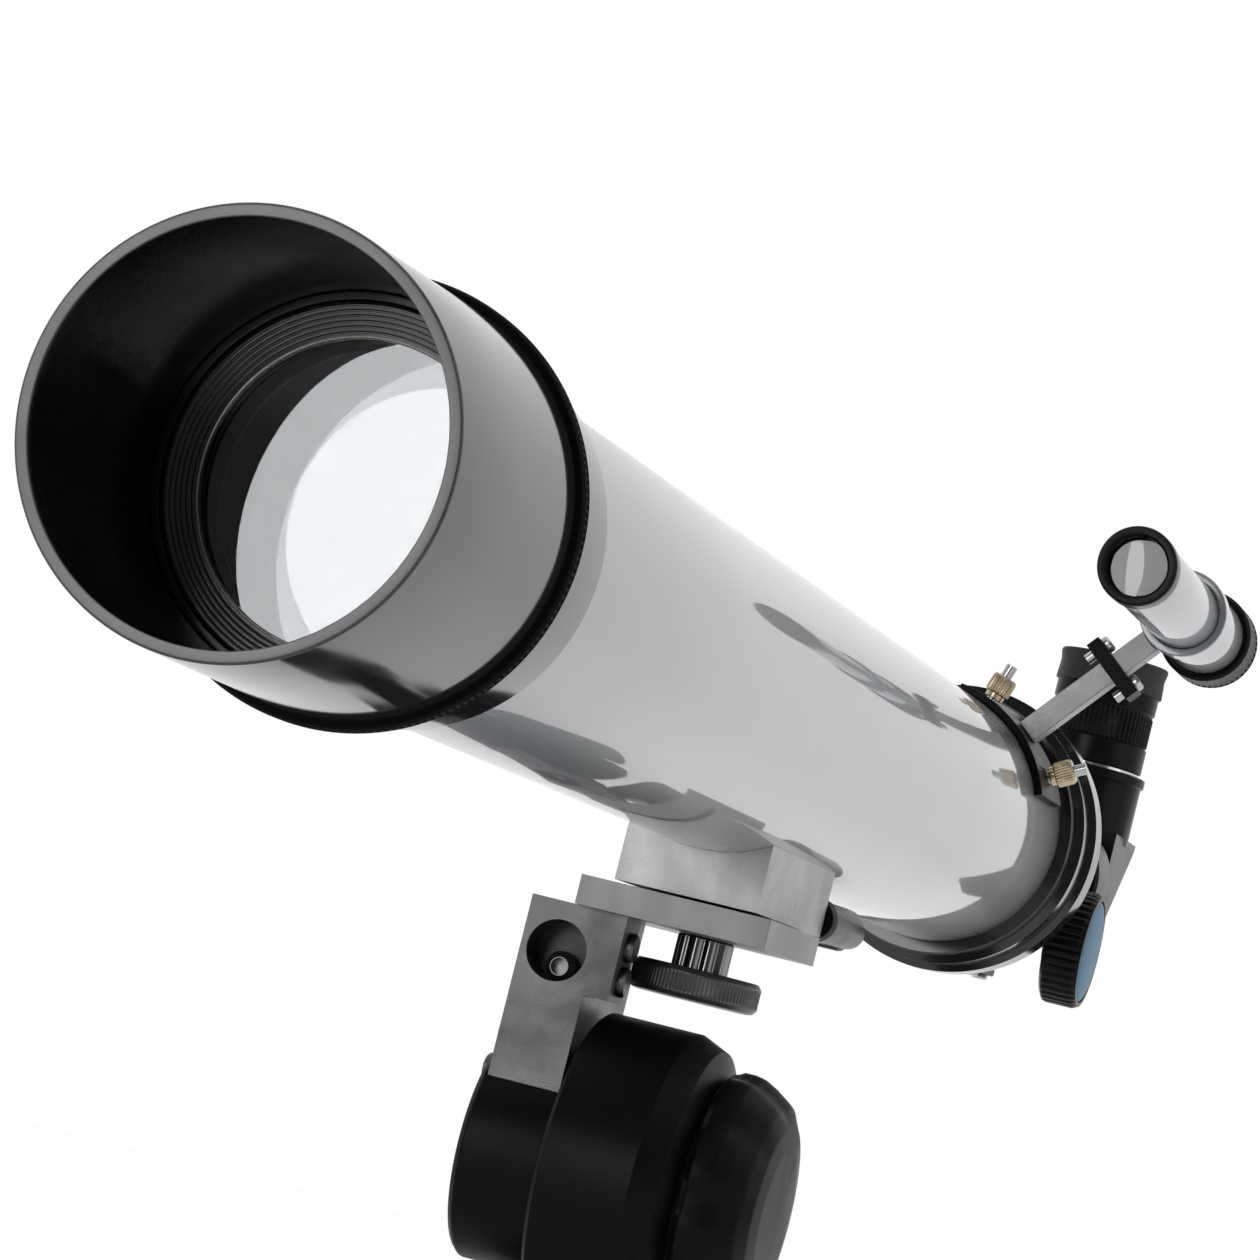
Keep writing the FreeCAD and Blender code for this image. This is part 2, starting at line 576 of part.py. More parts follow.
def make_head():
    """Rotating head with its spindle, and the fixed base that a tripod carries."""
    height = driving("altitude_height")
    base_height = driving("base_height")
    base_radius = driving("base_radius")
    spindle = driving("spindle_radius")
    table_bottom = base_height + WASHER_THICKNESS + 2 * face_gap
    table_height = driving("turntable_height")
    knuckle_left, knuckle_right = driving("knuckle_left"), driving("knuckle_right")
    radius = driving("knuckle_radius")
    width = knuckle_left + knuckle_right
    table = turned("head_table", [(0, 0), (base_radius - 1, 0), (base_radius, 1),
                                  (base_radius, table_height - 3),
                                  (base_radius - 3, table_height), (0, table_height)],
                   [0, 0, table_bottom], UP)
    knuckle = turned("head_knuckle", [
        (0, 0), (radius - 1, 0), (radius, 1), (radius, width - 9), (radius - 2.7, width - 2.7),
        (radius - 9, width), (0, width)], [-knuckle_left, 0, height], RIGHT)
    neck = box("head_neck", (width - 4, radius * 1.4, height - table_bottom - 4),
               (-knuckle_left, -0.7 * radius, table_bottom + 4))
    bore = rod("head_bolt_bore", driving("altitude_bolt_radius") + fit, 60, [-30, 0, height], RIGHT)
    spindle_hole = rod("head_spindle_hole", spindle + fit, 16, [0, 0, table_bottom - 1], UP)
    keep(cut("azimuth_head", join("head_casting", [table, neck, knuckle]), [bore, spindle_hole]),
         "azimuth_head")
    spindle_bottom = driving("tripod_thread_depth") + 4
    spindle_length = table_bottom - spindle_bottom + 15 - face_gap
    groove = base_height - spindle_bottom - 14
    keep(turned("azimuth_spindle", [
        (0, 0), (spindle - 1, 0), (spindle, 1), (spindle, groove), (spindle - 2, groove + 1),
        (spindle - 2, groove + 8), (spindle, groove + 9), (spindle, spindle_length), (0, spindle_length)],
        [0, 0, spindle_bottom], UP), "azimuth_spindle")
    keep(turned("azimuth_washer", [(spindle + 1, 0), (base_radius - 2, 0),
                                   (base_radius - 2, WASHER_THICKNESS),
                                   (spindle + 1, WASHER_THICKNESS)], [0, 0, base_height + face_gap], UP),
                                   "azimuth_washer")
    thread = driving("tripod_thread_radius")
    clamp_height = spindle_bottom + groove + 4.5
    base = turned("base_blank", [
        (thread, 0), (base_radius - 5, 0), (base_radius - 4, 1), (base_radius, base_height - 12),
        (base_radius, base_height - 1), (base_radius - 1, base_height), (spindle + fit, base_height),
        (spindle + fit, spindle_bottom - 0.5), (thread, driving("tripod_thread_depth"))], [0, 0, 0], UP)
    clamp_hole = rod("base_clamp_hole", 3.0 + fit, 40, [0, spindle - 1, clamp_height], FORWARD)
    keep(cut("tripod_base", base, [clamp_hole]), "tripod_base")
    head_start = base_radius - spindle + 3.3
    shank, neck, grip = 3.0, 6.0, 11.0
    keep(turned("azimuth_clamp_knob", [
        (0, 0), (shank, 0), (shank, head_start), (neck, head_start), (neck, head_start + 3),
        (grip, head_start + 5), (grip, head_start + 15), (grip - 1.5, head_start + 16.5),
        (0, head_start + 16.5)],
        [0, spindle - 1.8, clamp_height], FORWARD), "azimuth_clamp_knob")


# ---------------------------------------------------------------- focuser
def gear_outline(teeth, module, backlash):
    """Closed outline of an involute gear with one tooth pointing up, as (across, up) points."""
    pitch = teeth * module / 2
    base = pitch * math.cos(math.radians(PRESSURE_ANGLE))
    tip, root = pitch + module, pitch - 1.25 * module
    half_pitch_angle = math.pi / (2 * teeth) - backlash / (2 * pitch)
    involute = math.tan(math.radians(PRESSURE_ANGLE)) - math.radians(PRESSURE_ANGLE)
    points = []
    for tooth in range(teeth):
        middle = math.pi / 2 - 2 * math.pi * tooth / teeth
        flank = []
        for step in range(6):
            radius = max(base, root) + (tip - max(base, root)) * step / 5
            pressure = math.acos(min(1.0, base / radius))
            half = half_pitch_angle + involute - (math.tan(pressure) - pressure)
            flank.append((radius, half))
        flank.insert(0, (root, flank[0][1]))
        points += [(r * math.cos(middle + half), r * math.sin(middle + half)) for r, half in flank]
        points += [(r * math.cos(middle - half), r * math.sin(middle - half)) for r, half in reversed(flank)]
    return points


def prism(points, start_x, width):
    """Solid of a (y, z) outline pushed along +X."""
    wire = Part.makePolygon([Vector(start_x, y, z) for y, z in points + points[:1]])
    return Part.Face(wire).extrude(Vector(width, 0, 0))


def feature(label, shape):
    item = document.addObject("Part::Feature", label)
    item.Shape = shape
    return item


def make_focuser():
    module = driving("gear_module")
    draw = driving("draw_radius")
    pitch_radius = module * GEAR_TEETH / 2
    rack_pitch = draw + 1.75
    pinion_drop = rack_pitch + pitch_radius
    body_start = tube_end - 7
    ring_end = 7 + 26
    cone_end = ring_end + 13
    body_length = cone_end + driving("barrel_length")
    outer = driving("focuser_radius")
    rim = tube_radius + 3.75
    barrel = driving("barrel_radius")
    pinion = driving("pinion_place")
    shaft = driving("shaft_radius")
    spigot = tube_bore - fit
    casting = turned("focuser_casting", [
        (draw + fit, cone_end - 8), (spigot - 2, ring_end - 6), (spigot - 2, 0), (spigot, 0),
        (spigot, 7), (tube_radius + fit, 7), (tube_radius + fit, 0.2), (rim - 0.5, 0.2), (rim, 0.7), (rim, 6),
        (rim - 0.7, 6.5), (rim - 0.7, 8), (outer - 1.5, 8.5), (outer - 1.5, 19), (outer - 2.2, 19.5),
        (outer - 2.2, 21),
        (outer, 21.5), (outer, ring_end - 1), (outer - 1, ring_end), (barrel + 8, ring_end + 3),
        (barrel + 1, cone_end), (barrel, cone_end + 2), (barrel, body_length - 1), (barrel - 1, body_length),
        (draw + fit, body_length)], on_tube(body_start))
    housing_drop = pinion_drop + 11
    pinion_y = front + body_start + pinion
    housing_corner = (-HOUSING_WIDTH / 2, pinion_y - HOUSING_LENGTH / 2)
    housing = box("pinion_housing", (HOUSING_WIDTH, HOUSING_LENGTH, housing_drop - draw - 1),
                  (*housing_corner, axis_height - housing_drop))
    rack_slot = box("rack_slot", (6.4, body_length + 2, 6),
                    (-3.2, front + body_start - 1, axis_height - draw - 5.6))
    bay = box("pinion_bay", (driving("gear_width") + 1, 12, pinion_drop - draw + 20),
              (-driving("gear_width") / 2 - 0.5, pinion_y - 6, axis_height - pinion_drop - 12))
    shaft_bore = rod("shaft_bore", shaft + fit, 60, [-30, pinion_y, axis_height - pinion_drop], RIGHT)
    bore = rod("draw_bore", draw + fit, body_length, on_tube(body_start + 2), FORWARD)
    cover_screws = {f"{side}_{end}": (across, pinion_y + reach)
                    for side, across in (("left", COVER_SCREW_SIDE), ("right", -COVER_SCREW_SIDE))
                    for end, reach in (("front", -COVER_SCREW_REACH), ("rear", COVER_SCREW_REACH))}
    cover_screw, cover_clearance = 1.25, 1.3
    housing_bottom = axis_height - housing_drop
    screw_holes = [rod(f"housing_hole_{name}", cover_clearance, 8, [across, place, housing_bottom - 0.5], UP)
                   for name, (across, place) in cover_screws.items()]
    keep(cut("focuser_body", join("focuser_join", [casting, housing]),
             [rack_slot, bay, shaft_bore, bore] + screw_holes), "focuser_body")
    cover = box("pinion_cover_blank", (HOUSING_WIDTH, HOUSING_LENGTH, COVER_THICKNESS),
                (*housing_corner, housing_bottom - COVER_THICKNESS - fit))
    cover_holes = [rod(f"cover_hole_{name}", cover_clearance, 8, [across, place, housing_bottom - 5], UP)
                   for name, (across, place) in cover_screws.items()]
    keep(cut("pinion_cover", cover, cover_holes), "pinion_cover")
    keep(group("pinion_cover_screws", [
        screw(f"cover_screw_{name}", 2.4, 1.5, cover_screw, 8,
              [across, place, housing_bottom - COVER_THICKNESS - 2 * fit], UP)
        for name, (across, place) in cover_screws.items()]), "pinion_cover_screws")

    # draw tube, rack and the push-fit holder on its end
    draw_end = body_start + body_length + driving("draw_out")
    draw_start = draw_end - driving("draw_length")
    draw_bore = draw - driving("draw_wall")
    keep(turned("draw_tube", [(draw_bore, 0), (draw, 0), (draw, driving("draw_length")),
                              (draw_bore, driving("draw_length"))], on_tube(draw_start)), "draw_tube")
    tooth_pitch = math.pi * module.value
    low, high = -math.floor(DRAW_OUT_MORE / tooth_pitch) - 3, math.floor(DRAW_IN / tooth_pitch) + 3
    quarter = tooth_pitch / 4 - GEAR_BACKLASH / 4
    slope = math.tan(math.radians(PRESSURE_ANGLE))
    top = -(draw.value - 0.6)
    pitch_line, tip_line, root_line = (-(rack_pitch.value + add * module.value) for add in (0, 1, -1.15))
    teeth = []
    for number in range(low, high):
        middle = (number + 0.5) * tooth_pitch
        for side in (-1, 1):
            wide = quarter + (root_line - pitch_line) * slope
            narrow = quarter - (pitch_line - tip_line) * slope
            pair = [(middle + side * wide, root_line), (middle + side * narrow, tip_line)]
            teeth += pair if side < 0 else reversed(pair)
    strip = [(teeth[0][0] - 1, top), (teeth[0][0] - 1, root_line)] + teeth
    strip += [(teeth[-1][0] + 1, root_line), (teeth[-1][0] + 1, top)]
    rack = feature("rack_blank", prism(strip, -2.5, 5.0))
    put(rack, [0, pinion_y, axis_height])
    seat = rod("rack_seat", draw + fit, driving("draw_length") + 20, on_tube(draw_start - 10), FORWARD)
    keep(cut("focus_rack", rack, [seat]), "focus_rack")
    holder = driving("holder_radius")
    holder_length = driving("holder_length")
    push = driving("push_fit_radius")
    overlap, screw_set_back = 8, 9      # the holder's grip on the draw tube, and its screw from its rear face
    holder_blank = turned("holder_blank", [
        (draw + fit, 0), (holder - 1, 0), (holder, 1), (holder, holder_length - 1),
        (holder - 1, holder_length), (push + fit, holder_length), (push + fit, overlap),
        (draw + fit, overlap)], on_tube(draw_end - overlap + face_gap))
    holder_screw = draw_end + holder_length - overlap - screw_set_back
    tip = [-(push + 0.3), front + holder_screw, axis_height]
    holder_hole = rod("holder_screw_hole", 2.05, 12, [3 - push, tip[1], axis_height], -RIGHT)
    keep(cut("eyepiece_holder", holder_blank, [holder_hole]), "eyepiece_holder")
    keep(thumb_screw("holder_thumbscrew", 5.5, 7, 1.5, 2.0, holder - push + 0.5, tip, -RIGHT),
         "holder_thumbscrew")

    # pinion, its shaft and the pair of hand knobs
    gear = prism(gear_outline(GEAR_TEETH, module.value, GEAR_BACKLASH), -driving("gear_width").value / 2,
                 driving("gear_width").value)
    gear_feature = feature("pinion_gear", gear)
    put(gear_feature, [0, pinion_y, axis_height - pinion_drop])
    knob_start = driving("focus_knob_gap")
    knob_width = driving("focus_knob_width")
    shaft_end = knob_start + knob_width - 4
    axle = rod("pinion_axle", shaft, shaft_end * 2, [-shaft_end, pinion_y, axis_height - pinion_drop], RIGHT)
    keep(join("focus_pinion", [gear_feature, axle]), "focus_pinion")
    knob = driving("focus_knob_radius")
    cap = driving("cap_thickness")
    caps = []
    for side, direction, sign in (("left", RIGHT, 1), ("right", -RIGHT, -1)):
        start = [sign * knob_start, pinion_y, axis_height - pinion_drop]
        keep(turned(f"focus_knob_{side}", [
            (shaft + fit, 0), (7, 0), (8, 1.5), (knob - 1.5, 1.5), (knob, 3), (knob, knob_width - 1),
            (knob - 1, knob_width), (knob - 2, knob_width), (knob - 2, knob_width - 1.2),
            (0, knob_width - 1.2), (0, knob_width - 4 + 0.1), (shaft + fit, knob_width - 4 + 0.1)],
            start, direction), f"focus_knob_{side}")
        inlay = along(start, direction, knob_width - 1.2 + fit)
        caps.append(turned(f"focus_knob_cap_{side}", [
            (0, 0), (knob - 2 - seat_gap, 0), (knob - 2 - seat_gap, 1.0), (knob - 5, cap + 0.4),
            (0, cap + 1.0)], inlay, direction))
    keep(group("focus_knob_caps", caps), "focus_knob_caps")
    return draw_end + holder_length - overlap


# ---------------------------------------------------------------- diagonal and eyepiece
def make_diagonal(holder_end):
    half = driving("diagonal_half")
    path = holder_end + driving("eyepiece_reach")
    push = driving("push_fit_radius")
    back = half + 1.5
    start = -(half + 4)
    block = extruded("diagonal_block", [
        (start, -back), (start + 5, -back), (back + 4, back - 1), (back + 4, back + 1), (start, back + 1)],
        half * 2, on_tube(path))
    socket_length = driving("socket_length")
    socket_top = back + 1 + socket_length
    socket_radius, lip = half + 0.6, half + 1.4
    socket = turned("diagonal_socket", [
        (0, 0), (socket_radius, 0), (socket_radius, socket_length - 1.5), (lip, socket_length - 1),
        (lip, socket_length + 1.5), (socket_radius, socket_length + 2), (0, socket_length + 2)],
        along(on_tube(path), UP, back - 1), UP)
    light_path = rod("diagonal_light_path", push - 2, half + 6, on_tube(path + start - 1), FORWARD)
    eye_bore = rod("diagonal_eye_bore", push + fit, 40, along(on_tube(path), UP, back - 0.5), UP)
    inner = rod("diagonal_eye_path", push - 2.5, 40, along(on_tube(path), UP, 1), UP)
    nose_seat = rod("diagonal_nose_seat", push - 0.8 + fit, 4, on_tube(path + start - 1), FORWARD)
    screw_y = front + path
    tip = [-(push + 0.3), screw_y, axis_height + socket_top - 9]
    screw_hole = rod("diagonal_screw_hole", 2.05, 12, [3 - push, screw_y, tip[2]], -RIGHT)
    lean = Vector(0, 1, -1).normalize()
    slant = Vector(0, 1, 1).normalize()
    mirror_thickness, mirror_long, mirror_wide = 2.0, 32.0, 25.0
    mirror_depth = 1.6

    def slab(label, thickness, long, wide, depth):
        """Plate that lies parallel to the mirror, its front face a depth behind the light's corner."""
        plate = document.addObject("Part::Box", label)
        plate.Length, plate.Width, plate.Height = wide, long, thickness
        plate.Placement = FreeCAD.Placement(Vector(0, 0, 0), Rotation(RIGHT, -135))
        corner = slant * (long / 2) + lean * depth
        place = [-wide / 2, front + path + corner.y, axis_height + corner.z]
        return put(plate, place)

    pocket = slab("mirror_pocket", 14, mirror_long + 0.4, mirror_wide + 0.4, mirror_depth - 0.05)
    body = cut("diagonal_body", join("diagonal_join", [block, socket]),
               [light_path, eye_bore, inner, nose_seat, screw_hole, pocket])
    keep(body, "diagonal_body")
    keep(slab("diagonal_mirror", mirror_thickness, mirror_long, mirror_wide, mirror_depth), "diagonal_mirror")
    keep(slab("diagonal_cover", 1.6, mirror_long, mirror_wide, DIAGONAL_COVER_DEPTH), "diagonal_cover")
    nose_start = holder_end - 22
    nose_length = path + start + 2.9 - nose_start
    keep(turned("diagonal_nose", [
        (push - 2.2, 0), (push - 0.5, 0), (push, 0.5), (push, nose_length - 2.95),
        (push - 0.8, nose_length - 2.9), (push - 0.8, nose_length), (push - 2.2, nose_length)],
        on_tube(nose_start)), "diagonal_nose")
    keep(thumb_screw("diagonal_thumbscrew", 5.0, 7, 1.2, 2.0, socket_radius - push + 0.6, tip, -RIGHT),
         "diagonal_thumbscrew")

    # eyepiece, standing in the socket
    seat = axis_height + socket_top + 1 + face_gap
    barrel_length = driving("eyepiece_barrel")
    middle = [0, screw_y, seat - barrel_length]
    bore = push - 1.2
    keep(turned("eyepiece_barrel", [
        (bore, 0), (push - 0.4, 0), (push, 0.4), (push, barrel_length), (bore, barrel_length),
        (bore, barrel_length - 5), (8, barrel_length - 5), (8, barrel_length - 6), (bore, barrel_length - 6)],
        middle, UP), "eyepiece_barrel")
    radius = driving("eyepiece_body_radius")
    length = driving("eyepiece_body_length")
    cup = driving("eyecup_length")
    top = [0, screw_y, seat]
    keep(turned("eyepiece_body", [
        (bore, face_gap), (radius, face_gap), (radius, 8), (radius - 0.8, 8.6), (radius - 0.8, length - 9),
        (radius, length - 8.4), (radius, length - 1), (radius - 1, length), (9.0, length), (9.0, length - 4),
        (11.2, length - 4), (11.2, 4), (bore, 4)], top, UP), "eyepiece_body")
    cup_start = length - 3
    keep(turned("eyecup", [
        (radius + fit, 0), (radius + 0.9, 0), (radius + 0.5, cup - 4), (radius + 1.2, cup),
        (radius - 0.6, cup),
        (radius - 1.5, cup - 4), (9.5, cup - 5), (9.5, 3 + face_gap), (radius + fit, 3 + face_gap)],
        along(top, UP, cup_start), UP), "eyecup")
    lens = [(0, 0), (9.0, 1.2), (11.0, 1.2), (11.0, 4.6), (9.0, 4.6), (0, 6.0)]
    keep(group("eyepiece_lenses", [
        turned(name, lens, along(top, UP, offset), UP)
        for name, offset in (("field_lens", 5.0), ("eye_lens", length - 4 - 6.2))]), "eyepiece_lenses")


# ---------------------------------------------------------------- finder and its bracket
def make_finder():
    outward = round_the_tube(FINDER_ANGLE)
    distance = driving("finder_distance")
    barrel = driving("finder_barrel_radius")
    rear = driving("finder_rear_radius")
    start = tube_end - driving("finder_reach")
    foot_y = foot_place

    def on_finder(behind):
        return along(on_tube(start + behind), outward, distance)

    front_length = driving("finder_front_length")
    rear_start = front_length + 8
    rear_length = driving("finder_rear_length")
    eye_start = rear_start + rear_length
    keep(turned("finder_front_ring", [(7.8, 0.6), (8.2, 0), (barrel + 0.3, 0), (barrel + 0.6, 0.5),
                                      (barrel + 0.6, 7), (barrel + fit, 7), (barrel + fit, 3), (7.8, 3)],
                on_finder(0)), "finder_front_ring")
    keep(turned("finder_objective", [(0, 0), (barrel - 2.6, 0.9), (barrel - 1.1, 0.9), (barrel - 1.1, 3.2),
                                     (barrel - 2.6, 3.2), (0, 3.6)], on_finder(3.3)), "finder_objective")
    keep(turned("finder_barrel", [
        (barrel - 1, 3 + face_gap), (barrel, 3 + face_gap), (barrel, rear_start + 5),
        (barrel - 1, rear_start + 5)],
        on_finder(0)), "finder_barrel")
    keep(turned("finder_rear_barrel", [
        (barrel + fit, 0), (rear - 0.3, 0), (rear, 0.3), (rear, rear_length), (rear - 0.9, rear_length),
        (rear - 0.9, 6), (barrel + fit, 6)], on_finder(rear_start)), "finder_rear_barrel")
    eye = driving("finder_eye_radius")
    eye_length = driving("finder_eye_length")
    sleeve = rear - 0.9 - 0.06
    keep(turned("finder_eyepiece", [
        (sleeve - 1.2, 0), (sleeve, 0), (sleeve, 10), (eye - 0.8, 10), (eye, 10.8),
        (eye, 10 + eye_length - 3),
        (eye - 2, 10 + eye_length), (5.5, 10 + eye_length), (5.5, 10 + eye_length - 2),
        (sleeve - 1.2, 10 + eye_length - 4)], on_finder(eye_start - 10 + face_gap)), "finder_eyepiece")
    keep(turned("finder_eye_lens", [(0, 0), (sleeve - 3, 0.8), (sleeve - 1.3, 0.8), (sleeve - 1.3, 3.4),
                                    (sleeve - 3, 3.4), (0, 4.2)], on_finder(eye_start + 8)),
                                    "finder_eye_lens")
    reticle_radius = barrel - 1.05
    ring = turned("reticle_ring", [(reticle_radius - 1, 0), (reticle_radius, 0), (reticle_radius, 1.5),
                                   (reticle_radius - 1, 1.5)], on_finder(rear_start))
    wire_length = reticle_radius * 2 - 1
    wires = [rod(f"reticle_wire_{name}", 0.12, wire_length,
                 along(on_finder(rear_start + 0.75), direction, -(reticle_radius - 0.5)), direction)
             for name, direction in (("level", RIGHT), ("upright", UP))]
    keep(join("finder_reticle", [ring] + wires), "finder_reticle")

    # ring, stalk, crossbar and foot
    clamp_radius = barrel + 2.2
    ring_blank = turned("clamp_ring_blank", [(barrel + fit, 0), (clamp_radius, 0),
                                             (clamp_radius, 8 - face_gap),
                                             (barrel + fit, 8 - face_gap)], on_finder(front_length))
    keep(ring_blank, "finder_clamp_ring")
    stalk = driving("stalk_width")
    foot_top = tube_radius + driving("foot_thickness") + fit
    stalk_y = front + foot_y
    turn = Rotation(UP, outward)

    def radial_block(label, across, deep, inner, outer, middle_y=0.0):
        """Block square to the finder's stalk, between two distances from the tube's axis."""
        block = document.addObject("Part::Box", label)
        bind(block, "Length", across)
        bind(block, "Width", deep)
        bind(block, "Height", outer - inner)
        block.Placement = FreeCAD.Placement(Vector(0, 0, 0), turn)
        tangent = turn.multVec(RIGHT)
        corner = along([0, stalk_y + middle_y - deep / 2, axis_height], outward, inner)
        return put(block, along(corner, tangent, -across / 2))

    stalk_bar = radial_block("stalk_bar", stalk, stalk, foot_top + fit, distance - barrel - 1.5)
    stalk_seat = rod("stalk_ring_seat", clamp_radius + fit, 30, on_finder(front_length - 10), FORWARD)
    keep(cut("finder_stalk", stalk_bar, [stalk_seat]), "finder_stalk")
    bar_inner, bar_thick, bar_across, pin_spread = 63.5, 4.0, 18.5, 6.6
    crossbar = radial_block("crossbar_blank", bar_across, 9.5, bar_inner, bar_inner + bar_thick)
    crossbar_hole = radial_block("crossbar_hole", stalk + 2 * fit, stalk + 2 * fit, bar_inner - 2,
                                 bar_inner + bar_thick + 2)
    tangent = turn.multVec(RIGHT)
    pin_starts = {name: along(along([0, stalk_y, axis_height], outward, bar_inner - 6), tangent, offset)
                  for name, offset in (("near", -pin_spread), ("far", pin_spread))}
    pin_holes = [rod(f"crossbar_hole_{name}", 1.55, 25, place, outward) for name, place in pin_starts.items()]
    keep(cut("finder_crossbar", crossbar, [crossbar_hole] + pin_holes), "finder_crossbar")
    keep(group("crossbar_screws", [
        screw(f"crossbar_screw_{name}", 2.4, 1.8, 1.5, 6.5,
              along(place, outward, 6 + bar_thick + fit), -outward)
        for name, place in pin_starts.items()]), "crossbar_screws")

    sector = document.addObject("Part::Cylinder", "foot_sector")
    bind(sector, "Radius", foot_top)
    bind(sector, "Height", driving("foot_length"))
    sector.Angle = FOOT_SPAN
    start_angle = FINDER_ANGLE - FOOT_SPAN / 2
    # the cylinder's own axis is laid along +Y, then its start edge is turned to the foot's lower end
    lay = Rotation(FORWARD, -start_angle - FOOT_SPAN).multiply(Rotation(RIGHT, -90))
    sector.Placement = FreeCAD.Placement(Vector(0, 0, 0), lay)
    foot_start = foot_y - driving("foot_length") / 2
    put(sector, on_tube(foot_start))
    foot_bore = rod("foot_bore", tube_radius + fit, driving("foot_length") + 4, on_tube(foot_start - 2),
                    FORWARD)
    stud_holes = [rod(f"foot_stud_hole_{side}", driving("stud_radius") + fit, 10,
                      along(on_tube(foot_y), round_the_tube(angle), tube_radius - 3), round_the_tube(angle))
                  for side, angle in STUD_ANGLES.items()]
    keep(cut("finder_foot", sector, [foot_bore] + stud_holes), "finder_foot")
    stud = driving("stud_radius")
    studs = []
    for side, angle in STUD_ANGLES.items():
        direction = round_the_tube(angle)
        inside = tube_bore - 1.6
        studs.append(turned(f"finder_stud_{side}", [
            (0, 0), (stud * 2, 0), (stud * 2, 1.2), (stud, 1.2), (stud, 16), (0, 16)],
            along(on_tube(foot_y), direction, inside), direction))
        nut = driving("finder_nut_radius")
        keep(turned(f"finder_nut_{side}", [
            (stud + fit, 0), (nut - 0.8, 0), (nut - 0.8, 1.6), (nut, 2.0), (nut, 6.6), (nut - 0.4, 7.0),
            (stud + fit, 7.0)],
            along(on_tube(foot_y), direction, foot_top + 0.3), direction), f"finder_nut_{side}")
    keep(group("finder_studs", studs), "finder_studs")


# ---------------------------------------------------------------- build, check and write
make_saddle()
make_altitude(make_plate())
make_head()
make_objective()
make_tube()
make_diagonal(make_focuser())
make_finder()
document.recompute()

failed = [item.Label for item in document.Objects if {"Invalid", "Error"} & set(item.State)]
failed += [item.Label for item in nodes if item.Shape.isNull() or not item.Shape.isValid()]
failed += [item.Label for item in nodes if not item.Shape.Solids or item.Shape.Volume <= 0]
if failed:
    raise RuntimeError(f"pieces that failed: {failed}")
if len({item.Label for item in nodes}) != len(nodes):
    raise RuntimeError("two pieces share a name")

os.makedirs("parts", exist_ok=True)
for item in nodes:
    item.Shape.exportStep(f"parts/{item.Label}.step")
print(len(nodes), "pieces written")
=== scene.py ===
import json
import logging
import math
from dataclasses import dataclass
from enum import Enum
from typing import Iterable, Sequence

import bmesh
import bpy
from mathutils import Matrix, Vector


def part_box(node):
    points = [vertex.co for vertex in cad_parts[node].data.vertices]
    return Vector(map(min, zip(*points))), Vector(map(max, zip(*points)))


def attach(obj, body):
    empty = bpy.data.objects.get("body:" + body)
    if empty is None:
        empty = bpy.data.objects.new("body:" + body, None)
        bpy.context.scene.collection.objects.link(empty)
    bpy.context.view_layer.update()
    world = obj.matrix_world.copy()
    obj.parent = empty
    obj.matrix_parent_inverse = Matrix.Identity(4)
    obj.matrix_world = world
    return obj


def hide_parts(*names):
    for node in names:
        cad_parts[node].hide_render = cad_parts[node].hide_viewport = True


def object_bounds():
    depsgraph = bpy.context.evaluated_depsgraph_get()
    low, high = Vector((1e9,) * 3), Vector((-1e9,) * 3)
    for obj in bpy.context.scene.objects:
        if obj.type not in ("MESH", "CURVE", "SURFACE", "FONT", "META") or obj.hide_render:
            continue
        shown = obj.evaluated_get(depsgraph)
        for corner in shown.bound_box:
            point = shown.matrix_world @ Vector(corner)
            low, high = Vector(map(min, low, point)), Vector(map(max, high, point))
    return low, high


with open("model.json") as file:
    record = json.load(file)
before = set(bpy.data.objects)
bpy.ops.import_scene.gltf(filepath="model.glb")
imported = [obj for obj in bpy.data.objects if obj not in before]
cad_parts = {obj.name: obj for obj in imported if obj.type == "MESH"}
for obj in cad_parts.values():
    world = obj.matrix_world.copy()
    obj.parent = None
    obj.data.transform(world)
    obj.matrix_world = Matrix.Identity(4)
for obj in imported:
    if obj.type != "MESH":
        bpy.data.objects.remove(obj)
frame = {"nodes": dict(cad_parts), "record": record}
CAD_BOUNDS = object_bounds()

log = logging.getLogger("telescope")
MM = 0.001
ON_AXIS_MM = 1e-6        # a radius below this is a point on the axis
SAME_PLACE_M = 2e-6      # vertices closer than this are one
ARC_SHARE = 0.48         # most of an edge that one rounded corner may take
Corner = tuple
NodeTree = bpy.types.NodeTree
Socket = bpy.types.NodeSocket


# ------------------------------------------------------------------ places
@dataclass(frozen=True)
class Span:
    """The box of a frame node, in millimetres."""

    low: Vector
    high: Vector

    @staticmethod
    def of(node: str) -> "Span":
        """Read a node's box.

        Args:
            node: name of the frame node.

        Returns:
            The node's span in millimetres.
        """
        low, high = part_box(node)
        return Span(Vector(low) / MM, Vector(high) / MM)

    @property
    def middle(self) -> Vector:
        """Centre of the box."""
        return (self.low + self.high) / 2

    @property
    def size(self) -> Vector:
        """Edge lengths of the box."""
        return self.high - self.low


class Axis(Enum):
    """Directions that turned pieces are laid along."""

    REARWARD = (0.0, 1.0, 0.0)
    UP = (0.0, 0.0, 1.0)
    LEFT = (1.0, 0.0, 0.0)
    RIGHT = (-1.0, 0.0, 0.0)

    @property
    def vector(self) -> Vector:
        """The direction as a vector."""
        return Vector(self.value)


